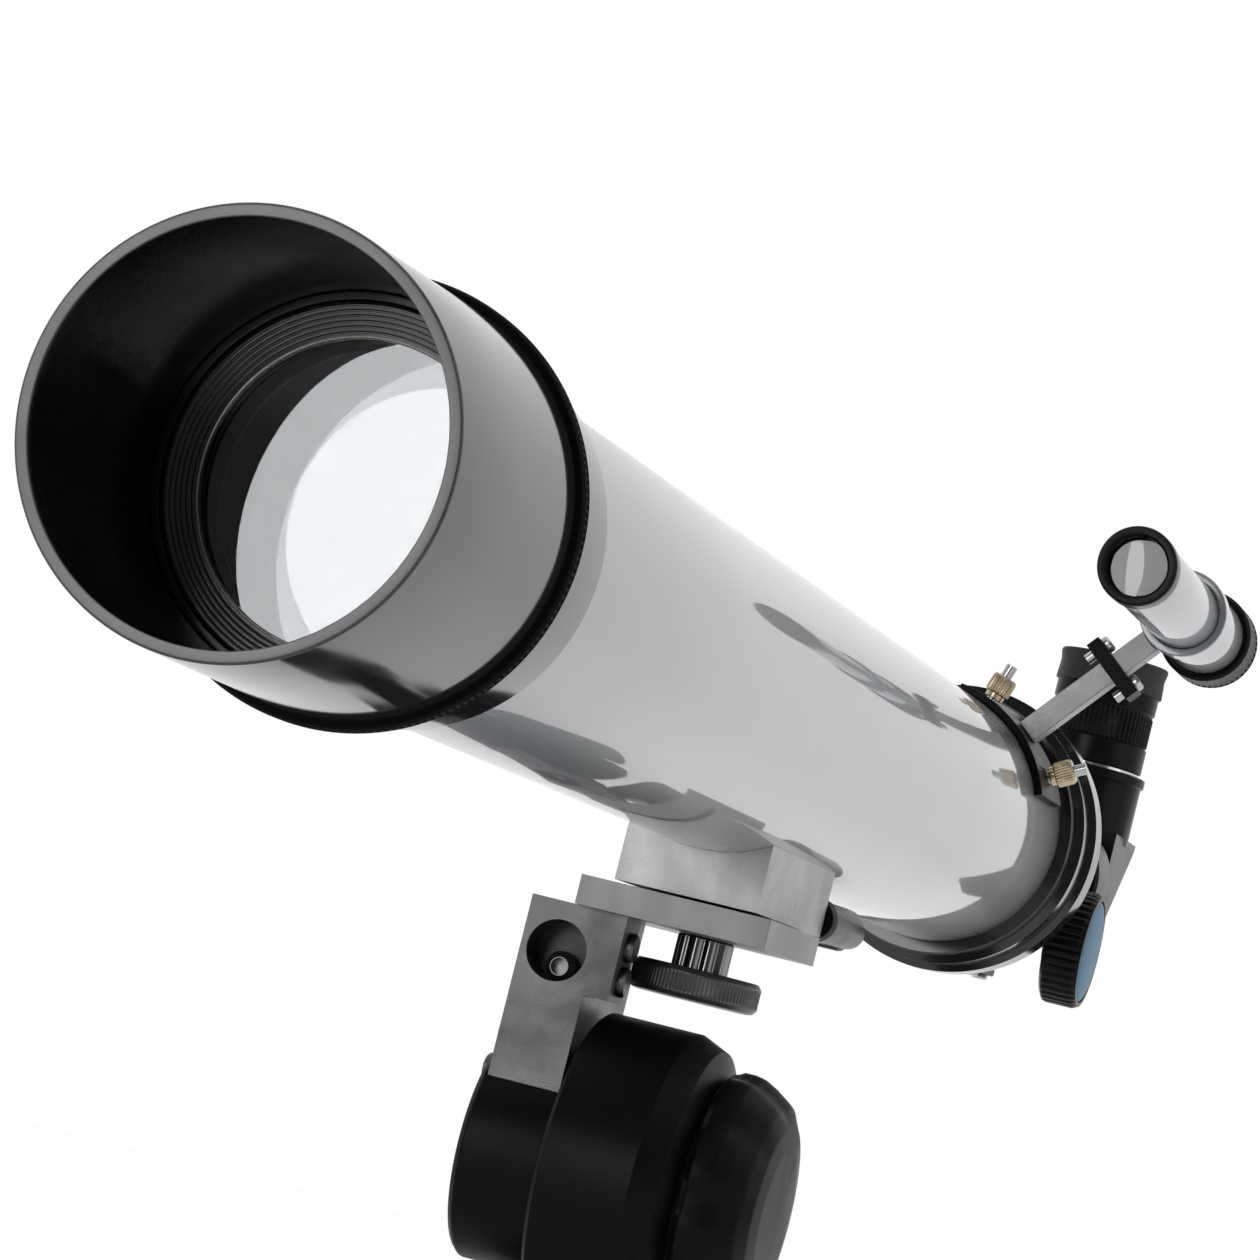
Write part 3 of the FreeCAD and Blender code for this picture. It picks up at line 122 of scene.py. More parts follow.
# ------------------------------------------------------------------ mesh making
def round_corners(corners: Sequence[Corner], closed: bool = True,
                  steps: int = 4) -> list[tuple[float, float]]:
    """Swap each corner that names a rounding radius for an arc.

    Args:
        corners: (radius, along) or (radius, along, rounding) in millimetres.
        closed: whether the last corner joins the first.
        steps: straight pieces in each arc.

    Returns:
        Plain (radius, along) points.
    """
    points: list[tuple[float, float]] = []
    count = len(corners)
    for index, corner in enumerate(corners):
        here = Vector(corner[:2])
        rounding = corner[2] if len(corner) > 2 else 0.0
        if rounding <= 0 or (not closed and index in (0, count - 1)):
            points.append(tuple(here))
            continue
        before = Vector(corners[index - 1][:2]) - here
        after = Vector(corners[(index + 1) % count][:2]) - here
        turn = before.angle(after)
        reach = min(rounding / math.tan(turn / 2), before.length * ARC_SHARE,
                    after.length * ARC_SHARE)
        start, end = here + before.normalized() * reach, here + after.normalized() * reach
        for step in range(steps + 1):
            share = step / steps
            points.append(tuple(start * (1 - share) ** 2 + here * 2 * share * (1 - share)
                                + end * share ** 2))
    return points


@dataclass(frozen=True)
class Ribs:
    """Even grooves round a turned piece.

    Attributes:
        count: number of ribs.
        depth: how deep each groove is, in millimetres.
        start: where along the axis the ribs begin.
        end: where they stop.
        sharpness: above 1 for narrow ribs with wide grooves, below 1 for the opposite.
    """

    count: int
    depth: float
    start: float
    end: float
    sharpness: float = 1.0

    def drop(self, angle: float, along: float) -> float:
        """How far the surface is set back at a place.

        Args:
            angle: place round the axis, in radians.
            along: place along the axis, in millimetres.

        Returns:
            Depth below the plain surface, in millimetres.
        """
        if not self.start <= along <= self.end:
            return 0.0
        wave = 0.5 - 0.5 * math.cos(self.count * angle)
        return self.depth * wave ** self.sharpness


def finish_mesh(name: str, mesh: bmesh.types.BMesh, sharp_degrees: float = 34.0) -> bpy.types.Object:
    """Turn a bmesh into a scene object with smooth faces and crisp edges.

    Args:
        name: name of the piece.
        mesh: mesh in metres. It is freed.
        sharp_degrees: edges that bend more than this stay crisp.

    Returns:
        The new object, linked to the scene.
    """
    bmesh.ops.remove_doubles(mesh, verts=mesh.verts, dist=SAME_PLACE_M)
    bmesh.ops.recalc_face_normals(mesh, faces=mesh.faces)
    limit = math.radians(sharp_degrees)
    for face in mesh.faces:
        face.smooth = True
    for edge in mesh.edges:
        edge.smooth = len(edge.link_faces) == 2 and edge.calc_face_angle(0.0) < limit
    data = bpy.data.meshes.new(name)
    mesh.to_mesh(data)
    mesh.free()
    piece = bpy.data.objects.new(name, data)
    bpy.context.scene.collection.objects.link(piece)
    return piece


def add_turned(mesh: bmesh.types.BMesh, corners: Sequence[Corner], origin: Vector, axis: Vector,
               segments: int = 128, closed: bool = True, ribs: Iterable[Ribs] = ()) -> None:
    """Add a body of revolution to a mesh.

    Args:
        mesh: mesh to add to, in metres.
        corners: outline as round_corners takes it, in millimetres.
        origin: where the axis starts, in millimetres.
        axis: unit direction of the axis.
        segments: faces round the axis.
        closed: whether the outline closes on itself rather than ending on the axis.
        ribs: grooves to press into the outside.
    """
    outline = round_corners(corners, closed)
    side = axis.orthogonal().normalized()
    if abs(axis.z) < 0.9:
        side = Vector((0, 0, 1)).cross(axis).normalized()
    other = axis.cross(side)
    ribs = tuple(ribs)
    rings = []
    for radius, along in outline:
        if radius < ON_AXIS_MM:
            rings.append([mesh.verts.new((origin + axis * along) * MM)])
            continue
        ring = []
        for step in range(segments):
            angle = 2 * math.pi * step / segments
            reach = radius - sum(rib.drop(angle, along) for rib in ribs)
            place = origin + axis * along + (side * math.cos(angle) + other * math.sin(angle)) * reach
            ring.append(mesh.verts.new(place * MM))
        rings.append(ring)
    pairs = len(rings) if closed else len(rings) - 1
    for index in range(pairs):
        first, second = rings[index], rings[(index + 1) % len(rings)]
        if len(first) == 1 and len(second) == 1:
            continue
        for step in range(segments):
            after = (step + 1) % segments
            if len(first) == 1:
                mesh.faces.new((first[0], second[after], second[step]))
            elif len(second) == 1:
                mesh.faces.new((first[step], first[after], second[0]))
            else:
                mesh.faces.new((first[step], first[after], second[after], second[step]))


def turned(name: str, corners: Sequence[Corner], origin: Vector, axis: Vector, segments: int = 128,
           ribs: Iterable[Ribs] = ()) -> bpy.types.Object:
    """A piece that is one closed body of revolution.

    Args:
        name: name of the piece.
        corners: outline as round_corners takes it.
        origin: where the axis starts, in millimetres.
        axis: unit direction of the axis.
        segments: faces round the axis.
        ribs: grooves to press into the outside.

    Returns:
        The new object.
    """
    mesh = bmesh.new()
    on_axis = corners[0][0] < ON_AXIS_MM and corners[-1][0] < ON_AXIS_MM
    add_turned(mesh, corners, origin, axis, segments, closed=not on_axis, ribs=ribs)
    return finish_mesh(name, mesh)


def curved_face(curve: float, radius: float, start: float, steps: int = 14) -> list[tuple[float, float]]:
    """Points of a spherical face from the axis out to its edge.

    Args:
        curve: radius of the sphere, positive when the face's middle stands before its edge.
        radius: radius of the edge.
        start: where the face's middle is along the axis.
        steps: points along the face.

    Returns:
        (radius, along) points, middle first.
    """
    sign = 1 if curve > 0 else -1
    size = abs(curve)
    return [(radius * step / steps,
             start + sign * (size - math.sqrt(size ** 2 - (radius * step / steps) ** 2)))
            for step in range(steps + 1)]


def smooth_shading() -> NodeTree:
    """Geometry node group that shades a mesh smooth."""
    known = bpy.data.node_groups.get("smooth_shading")
    if known is not None:
        return known
    group = bpy.data.node_groups.new("smooth_shading", "GeometryNodeTree")
    group.interface.new_socket("Geometry", in_out="INPUT", socket_type="NodeSocketGeometry")
    group.interface.new_socket("Geometry", in_out="OUTPUT", socket_type="NodeSocketGeometry")
    start, end = group.nodes.new("NodeGroupInput"), group.nodes.new("NodeGroupOutput")
    shade = group.nodes.new("GeometryNodeSetShadeSmooth")
    group.links.new(start.outputs[0], shade.inputs["Geometry"])
    group.links.new(shade.outputs["Geometry"], end.inputs[0])
    return group


def soften(node: str, width: float, segments: int = 3, angle: float = 30.0) -> bpy.types.Object:
    """Give a frame node fine rounded edges with modifiers.

    Args:
        node: name of the frame node.
        width: width of the rounding in millimetres.
        segments: faces across the rounding.
        angle: edges that bend more than this many degrees are rounded.

    Returns:
        The frame node's object.
    """
    piece = frame["nodes"][node]
    weld = piece.modifiers.new("join_seams", "WELD")
    weld.merge_threshold = 1e-6
    piece.modifiers.new("shade_smooth", "NODES").node_group = smooth_shading()
    bevel = piece.modifiers.new("soft_edges", "BEVEL")
    bevel.width = width * MM
    bevel.segments = segments
    bevel.limit_method = "ANGLE"
    bevel.angle_limit = math.radians(angle)
    piece.modifiers.new("flat_faces", "WEIGHTED_NORMAL")
    return piece


# ------------------------------------------------------------------ shader parts
def group_node(tree: NodeTree, group: NodeTree, **values: float) -> bpy.types.Node:
    """Place a shared node group in a material and set its inputs.

    Args:
        tree: node tree of the material.
        group: the shared group.
        **values: value for each input, with _ for a space in its name.

    Returns:
        The group's node.
    """
    node = tree.nodes.new("ShaderNodeGroup")
    node.node_tree = group
    for name, value in values.items():
        node.inputs[name.replace("_", " ")].default_value = value
    return node


def new_group(name: str, inputs: dict[str, float], outputs: dict[str, str]) -> NodeTree:
    """Make a shader node group with named sockets.

    Args:
        name: name of the group.
        inputs: float inputs and their default values.
        outputs: outputs and their socket types.

    Returns:
        The empty group with its Group Input and Group Output nodes.
    """
    group = bpy.data.node_groups.new(name, "ShaderNodeTree")
    for label, value in inputs.items():
        socket = group.interface.new_socket(label, in_out="INPUT", socket_type="NodeSocketFloat")
        socket.default_value = value
    for label, kind in outputs.items():
        group.interface.new_socket(label, in_out="OUTPUT", socket_type=kind)
    group.nodes.new("NodeGroupInput")
    group.nodes.new("NodeGroupOutput")
    return group


def ends(group: NodeTree) -> tuple[bpy.types.Node, bpy.types.Node]:
    """The Group Input and Group Output nodes of a group."""
    return group.nodes["Group Input"], group.nodes["Group Output"]


def remap(tree: NodeTree, value: Socket, from_span: tuple[float, float] = (0.0, 1.0),
          to_span: tuple[float, float] = (0.0, 1.0)) -> Socket:
    """Stretch a value from one span to another, held inside it.

    Args:
        tree: node tree to work in.
        value: the value's socket.
        from_span: values that give the two ends.
        to_span: what the two ends become.

    Returns:
        Socket with the stretched value.
    """
    node = tree.nodes.new("ShaderNodeMapRange")
    node.inputs["From Min"].default_value, node.inputs["From Max"].default_value = from_span
    node.inputs["To Min"].default_value, node.inputs["To Max"].default_value = to_span
    tree.links.new(value, node.inputs["Value"])
    return node.outputs["Result"]


def noise(tree: NodeTree, scale: float | Socket, detail: float = 2.0, distortion: float = 0.0) -> Socket:
    """Noise in the piece's own coordinates.

    Args:
        tree: node tree to work in.
        scale: scale, or the socket that gives it.
        detail: number of finer layers.
        distortion: how much the noise is warped.

    Returns:
        Socket with the noise.
    """
    place = tree.nodes.new("ShaderNodeTexCoord")
    node = tree.nodes.new("ShaderNodeTexNoise")
    tree.links.new(place.outputs["Object"], node.inputs["Vector"])
    node.inputs["Detail"].default_value = detail
    node.inputs["Distortion"].default_value = distortion
    if isinstance(scale, Socket):
        tree.links.new(scale, node.inputs["Scale"])
    else:
        node.inputs["Scale"].default_value = scale
    return node.outputs["Fac"]


def handling_marks() -> NodeTree:
    """Cloudy smears and specks of dust that make a surface read as used.

    Returns:
        Group with a Smear mask and a Dust mask.
    """
    group = new_group("handling_marks", {"Smear Scale": 25.0, "Dust Scale": 900.0, "Dust Amount": 0.3},
                      {"Smear": "NodeSocketFloat", "Dust": "NodeSocketFloat"})
    start, end = ends(group)
    cloud = noise(group, start.outputs["Smear Scale"], 5.0, 0.8)
    group.links.new(remap(group, cloud, (0.38, 0.72)), end.inputs["Smear"])
    place = group.nodes.new("ShaderNodeTexCoord")
    specks = group.nodes.new("ShaderNodeTexVoronoi")
    group.links.new(place.outputs["Object"], specks.inputs["Vector"])
    group.links.new(start.outputs["Dust Scale"], specks.inputs["Scale"])
    amount = group.nodes.new("ShaderNodeMath")
    amount.operation = "MULTIPLY"
    group.links.new(remap(group, specks.outputs["Distance"], (0.16, 0.04)), amount.inputs[0])
    group.links.new(start.outputs["Dust Amount"], amount.inputs[1])
    group.links.new(amount.outputs["Value"], end.inputs["Dust"])
    return group


def surface_grain() -> NodeTree:
    """Height of a fine cast, moulded or painted skin.

    Returns:
        Group with a Height output made of a coarse and a fine noise.
    """
    scales = {"Coarse Scale": 300.0, "Fine Scale": 2500.0, "Coarse Share": 0.5}
    group = new_group("surface_grain", scales, {"Height": "NodeSocketFloat"})
    start, end = ends(group)
    mix = group.nodes.new("ShaderNodeMix")
    group.links.new(start.outputs["Coarse Share"], mix.inputs["Factor"])
    group.links.new(noise(group, start.outputs["Fine Scale"], 3.0), mix.inputs["A"])
    group.links.new(noise(group, start.outputs["Coarse Scale"], 3.0), mix.inputs["B"])
    group.links.new(mix.outputs["Result"], end.inputs["Height"])
    return group


class Shared:
    """The node groups that several finishes use, each built once."""

    marks: NodeTree
    grain: NodeTree

    @classmethod
    def build(cls) -> None:
        """Build the groups."""
        cls.marks = handling_marks()
        cls.grain = surface_grain()


def new_material(name: str) -> tuple[bpy.types.Material, bpy.types.Node]:
    """A node material and its Principled BSDF."""
    material = bpy.data.materials.new(name)
    material.use_nodes = True
    return material, material.node_tree.nodes["Principled BSDF"]


def tint(tree: NodeTree, mask: Socket, plain: Sequence[float] | Socket, marked: Sequence[float]) -> Socket:
    """Colour that goes from plain to marked by a mask.

    Args:
        tree: node tree to work in.
        mask: 0 for plain, 1 for marked.
        plain: colour, or the socket that gives it.
        marked: colour at the marks.

    Returns:
        Socket with the colour.
    """
    mix = tree.nodes.new("ShaderNodeMix")
    mix.data_type = "RGBA"
    if isinstance(plain, Socket):
        tree.links.new(plain, mix.inputs["A"])
    else:
        mix.inputs["A"].default_value = (*plain, 1.0)
    mix.inputs["B"].default_value = (*marked, 1.0)
    tree.links.new(mask, mix.inputs["Factor"])
    return mix.outputs["Result"]


def cover(pieces: Iterable[bpy.types.Object], material: bpy.types.Material) -> None:
    """Put a material on pieces, in place of what they had."""
    for piece in pieces:
        piece.data.materials.clear()
        piece.data.materials.append(material)


def bump(tree: NodeTree, shader: bpy.types.Node, height: Socket, distance: float, strength: float) -> None:
    """Feed a height into the shader's normal."""
    node = tree.nodes.new("ShaderNodeBump")
    node.inputs["Distance"].default_value = distance
    node.inputs["Strength"].default_value = strength
    tree.links.new(height, node.inputs["Height"])
    tree.links.new(node.outputs["Normal"], shader.inputs["Normal"])


# ------------------------------------------------------------------ finishes
@dataclass(frozen=True)
class Finish:
    """A surface finish.

    Attributes:
        name: name of the material.
        color: base colour, linear.
        rough: smoothest and roughest roughness.
        dust: colour of the dust and smears on it.
        grain: bump depth in metres of its skin.
        grain_scale: scale of the skin's coarse noise.
        dust_amount: strength of the dust, up to 1.
        metallic: 1 for bare metal, 0 for plastic and paint.
        coat: strength of the clear coat.
        coat_rough: roughness of the clear coat.
        ior: index of refraction, low for a surface that mirrors little.
    """

    name: str
    color: tuple[float, float, float]
    rough: tuple[float, float]
    dust: tuple[float, float, float] = (0.2, 0.19, 0.18)
    grain: float = 0.0
    grain_scale: float = 900.0
    dust_amount: float = 0.25
    metallic: float = 0.0
    coat: float = 0.0
    coat_rough: float = 0.05
    ior: float = 1.5

    def material(self) -> bpy.types.Material:
        """Build the material once and return it."""
        known = bpy.data.materials.get(self.name)
        if known is not None:
            return known
        material, shader = new_material(self.name)
        tree = material.node_tree
        marks = group_node(tree, Shared.marks, Dust_Amount=self.dust_amount)
        dusty = tint(tree, marks.outputs["Dust"], self.color, self.dust)
        tree.links.new(dusty, shader.inputs["Base Color"])
        tree.links.new(remap(tree, marks.outputs["Smear"], to_span=self.rough), shader.inputs["Roughness"])
        shader.inputs["Metallic"].default_value = self.metallic
        shader.inputs["IOR"].default_value = self.ior
        shader.inputs["Coat Weight"].default_value = self.coat
        shader.inputs["Coat Roughness"].default_value = self.coat_rough
        if self.grain > 0:
            grain = group_node(tree, Shared.grain, Coarse_Scale=self.grain_scale,
                               Fine_Scale=self.grain_scale * 4)
            bump(tree, shader, grain.outputs["Height"], self.grain, 1.0)
        self.extra(tree, shader, marks)
        return material

    def extra(self, tree: NodeTree, shader: bpy.types.Node, marks: bpy.types.Node) -> None:
        """Room for a finish to add its own nodes."""

    def on(self, *pieces: bpy.types.Object) -> None:
        """Put the finish on pieces, in place of what they had.

        Args:
            *pieces: objects to dress.
        """
        cover(pieces, self.material())


@dataclass(frozen=True)
class TurnedMetal(Finish):
    """Metal that keeps the fine rings of the lathe or the streaks of a brush.

    Attributes:
        streak: scale of the streaks along x, y and z.
        streak_depth: bump depth of the streaks in metres.
        streak_strength: how much the bump bends the light, up to 1.
    """

    streak: tuple[float, float, float] = (400.0, 4000.0, 400.0)
    streak_depth: float = 0.00002
    streak_strength: float = 0.35

    def extra(self, tree: NodeTree, shader: bpy.types.Node, marks: bpy.types.Node) -> None:
        """Streaks in the normal, finest along one direction."""
        place = tree.nodes.new("ShaderNodeTexCoord")
        stretch = tree.nodes.new("ShaderNodeMapping")
        stretch.inputs["Scale"].default_value = self.streak
        tree.links.new(place.outputs["Object"], stretch.inputs["Vector"])
        streaks = tree.nodes.new("ShaderNodeTexNoise")
        streaks.inputs["Scale"].default_value = 1.0
        tree.links.new(stretch.outputs["Vector"], streaks.inputs["Vector"])
        bump(tree, shader, streaks.outputs["Fac"], self.streak_depth, self.streak_strength)


@dataclass(frozen=True)
class Floor(Finish):
    """Pale floor that shines a little by itself, so that it fades into the backdrop."""

    glow: float = 0.2

    def extra(self, tree: NodeTree, shader: bpy.types.Node, marks: bpy.types.Node) -> None:
        """Add the glow."""
        shader.inputs["Emission Color"].default_value = (1.0, 1.0, 1.0, 1.0)
        shader.inputs["Emission Strength"].default_value = self.glow


@dataclass(frozen=True)
class CastMetal(Finish):
    """Rough casting with cloudy dark stains.

    Attributes:
        stain: strength of the clouds.
        recess_shade: strength of the painted shade in holes and inner corners.
        recess_shade_reach: size in metres of the recesses that get the painted shade.
    """

    stain: float = 0.35
    recess_shade: float = 0.0
    recess_shade_reach: float = 0.02

    def extra(self, tree: NodeTree, shader: bpy.types.Node, marks: bpy.types.Node) -> None:
        """Darken the base colour in large soft clouds of stain, and paint shade into holes and inner
        corners.
        """
        clouds = remap(tree, noise(tree, 70.0, 4.0), (0.42, 0.7), (0.0, self.stain))
        self.darken(tree, shader, clouds, self.dust)
        # Painted shade: the ambient occlusion mask darkens the base colour in holes and inner corners,
        # where shade falls.
        if self.recess_shade > 0:
            open_share = tree.nodes.new("ShaderNodeAmbientOcclusion")
            open_share.inputs["Distance"].default_value = self.recess_shade_reach
            open_share.only_local = True
            depth = remap(tree, open_share.outputs["AO"], (0.9, 0.5), (0.0, self.recess_shade))
            self.darken(tree, shader, depth, (0.008, 0.007, 0.006))

    @staticmethod
    def darken(tree: NodeTree, shader: bpy.types.Node, mask: Socket, color: Sequence[float]) -> None:
        """Lay a colour over the base colour by a mask."""
        before = shader.inputs["Base Color"].links[0].from_socket
        tree.links.new(tint(tree, mask, before, color), shader.inputs["Base Color"])


@dataclass(frozen=True)
class Glass:
    """Clear coated glass."""

    name: str
    color: tuple[float, float, float] = (0.97, 0.99, 1.0)
    ior: float = 1.52
    smear_rough: float = 0.012

    def on(self, *pieces: bpy.types.Object) -> None:
        """Put the glass on pieces."""
        material = bpy.data.materials.get(self.name)
        if material is None:
            material, shader = new_material(self.name)
            shader.inputs["Base Color"].default_value = (*self.color, 1.0)
            shader.inputs["Transmission Weight"].default_value = 1.0
            shader.inputs["IOR"].default_value = self.ior
            tree = material.node_tree
            marks = group_node(tree, Shared.marks, Smear_Scale=30.0)
            smears = remap(tree, marks.outputs["Smear"], to_span=(0.0, self.smear_rough))
            tree.links.new(smears, shader.inputs["Roughness"])
        cover(pieces, material)


class Finishes:
    """Every finish on the telescope."""

    gloss_black = Finish("gloss_black_plastic", (0.010, 0.010, 0.011), (0.07, 0.14), dust_amount=0.12)
    # Painted reflection: the black shield's front rim gets this lighter grey to stand for the front lights
    # it mirrors.
    rim_reflection_grey = Finish("rim_reflection_grey_plastic", (0.072, 0.072, 0.075), (0.3, 0.42), dust_amount=0.3)
    inner_black = Finish("inner_black", (0.002, 0.002, 0.002), (0.18, 0.26), grain=0.000003,
                         dust_amount=0.03, ior=1.3)
    flat_black = Finish("flat_black", (0.004, 0.004, 0.004), (0.85, 0.95), dust_amount=0.05, ior=1.2)
    band_black = Finish("band_black", (0.003, 0.003, 0.003), (0.6, 0.75), grain=0.00003,
                        dust_amount=0.04, ior=1.12)
    deep_black = Finish("deep_black_plastic", (0.004, 0.004, 0.004), (0.24, 0.34), dust_amount=0.05,
                        ior=1.18)
    worn_edge = TurnedMetal("worn_edge_metal", (0.5, 0.47, 0.42), (0.3, 0.5), metallic=1.0,
                            dust=(0.05, 0.04, 0.03), dust_amount=0.8)
    ring_black = Finish("ring_black", (0.016, 0.016, 0.017), (0.2, 0.34), grain=0.00003, dust_amount=0.35,
                        coat=0.6, coat_rough=0.12)
    satin_black = Finish("satin_black_casting", (0.003, 0.003, 0.003), (0.34, 0.48), grain=0.00004,
                         dust_amount=0.06, ior=1.16)
    knob_black = Finish("ribbed_knob_black", (0.030, 0.029, 0.028), (0.26, 0.4), grain=0.00003,
                        dust_amount=0.3)
    rubber = Finish("black_rubber", (0.010, 0.010, 0.010), (0.5, 0.7), grain=0.00005,
                    dust_amount=0.35, ior=1.35)
    tube_silver = Finish("tube_silver_paint", (0.200, 0.212, 0.224), (0.34, 0.36), dust=(0.26, 0.26, 0.26),
                         dust_amount=0.08, metallic=0.25, coat=0.85, coat_rough=0.03, grain=0.000001,
                         grain_scale=2500.0)
    cast_grey = CastMetal("cast_grey_metal", (0.235, 0.237, 0.240), (0.30, 0.5), dust=(0.10, 0.10, 0.10),
                          dust_amount=0.35, metallic=0.55, grain=0.00006, grain_scale=700.0)
    # Pale cast metal of the saddle; its tone is also raised to stand in for more light on its front face,
    # which is painted light.
    pale_cast = CastMetal("pale_cast_metal", (0.285, 0.283, 0.283), (0.30, 0.5), dust=(0.10, 0.10, 0.10),
                          dust_amount=0.35, metallic=0.5, grain=0.00006, grain_scale=700.0)
    plate_grey = CastMetal("plate_grey_metal", (0.140, 0.142, 0.145), (0.30, 0.5), dust=(0.08, 0.08, 0.08),
                           dust_amount=0.35, metallic=0.5, grain=0.00005, grain_scale=700.0)
    # Dark cast metal for the arm and lug: dark base colour, heavy stain clouds, and strong painted shade in
    # its holes and inner corners.
    dark_cast_recess_shade = CastMetal("dark_cast_metal_recess_shade", (0.100, 0.100, 0.102), (0.30, 0.5), dust=(0.035, 0.035, 0.035),
                          dust_amount=0.5, metallic=0.55, grain=0.00008, grain_scale=500.0, stain=0.85,
                          recess_shade=0.9)
    steel = TurnedMetal("turned_steel", (0.42, 0.42, 0.42), (0.24, 0.36), metallic=1.0)
    dark_steel = TurnedMetal("blackened_steel", (0.08, 0.08, 0.08), (0.28, 0.4), metallic=1.0)
    dull_steel = TurnedMetal("dull_steel", (0.2, 0.195, 0.19), (0.4, 0.55), metallic=1.0,
                             dust=(0.03, 0.03, 0.03), dust_amount=0.6)
    dark_chrome = TurnedMetal("darkened_chrome", (0.16, 0.155, 0.15), (0.1, 0.2), metallic=1.0)
    chrome = TurnedMetal("polished_chrome", (0.5, 0.51, 0.52), (0.08, 0.16), metallic=1.0)
    brass = TurnedMetal("aged_brass", (0.46, 0.37, 0.25), (0.26, 0.42), metallic=1.0,
                        dust=(0.12, 0.09, 0.05), dust_amount=0.5)
    nylon = Finish("white_nylon", (0.5, 0.5, 0.48), (0.4, 0.55), grain=0.00002)
    blue_cap = Finish("pale_blue_cap", (0.062, 0.145, 0.215), (0.4, 0.52), dust_amount=0.04, ior=1.2)
    glass = Glass("coated_glass")
    mirror = Finish("mirror_coating", (0.9, 0.9, 0.9), (0.0, 0.02), metallic=1.0, dust_amount=0.05)


# ------------------------------------------------------------------ the telescope
class Assembly:
    """Shared steps of a sub-assembly: dress, ride, replace and report a piece."""

    def add(self, piece: bpy.types.Object, body: str, finish: Finish | Glass, slot: str,
            replaces: Sequence[str] = ()) -> bpy.types.Object:
        """Finish a new piece and tie it to the frame.

        Args:
            piece: the new object.
            body: frame body that it rides on.
            finish: its finish.
            slot: the record's material slot; not used.
            replaces: frame nodes that it stands for.

        Returns:
            The piece.
        """
        finish.on(piece)
        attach(piece, body)
        if replaces:
            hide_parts(*replaces)
        log.info("%s on %s", piece.name, body)
        return piece

    def dress(self, finish: Finish | Glass, *nodes: str) -> None:
        """Put a finish on frame nodes whose shape is right."""
        for node in nodes:
            finish.on(frame["nodes"][node])
            log.info("%s keeps its shape", node)


def tube_axis(along_y: float) -> Vector:
    """Point of the tube's axis at a place along Y, in millimetres."""
    middle = Span.of("main_tube").middle
    return Vector((middle.x, along_y, middle.z))


def lining_outline(bore: float, length: float) -> list[Corner]:
    """Thin black sleeve that just covers the inside of a tube.

    Args:
        bore: inner radius of the tube in millimetres.
        length: length of the tube in millimetres.

    Returns:
        Outline of the sleeve, to be turned on the tube's axis.
    """
    seen, sunk = bore - 0.04, bore + 0.02
    return [(seen, 0.5), (sunk, 0.3), (sunk, length - 0.3), (seen, length - 0.5)]


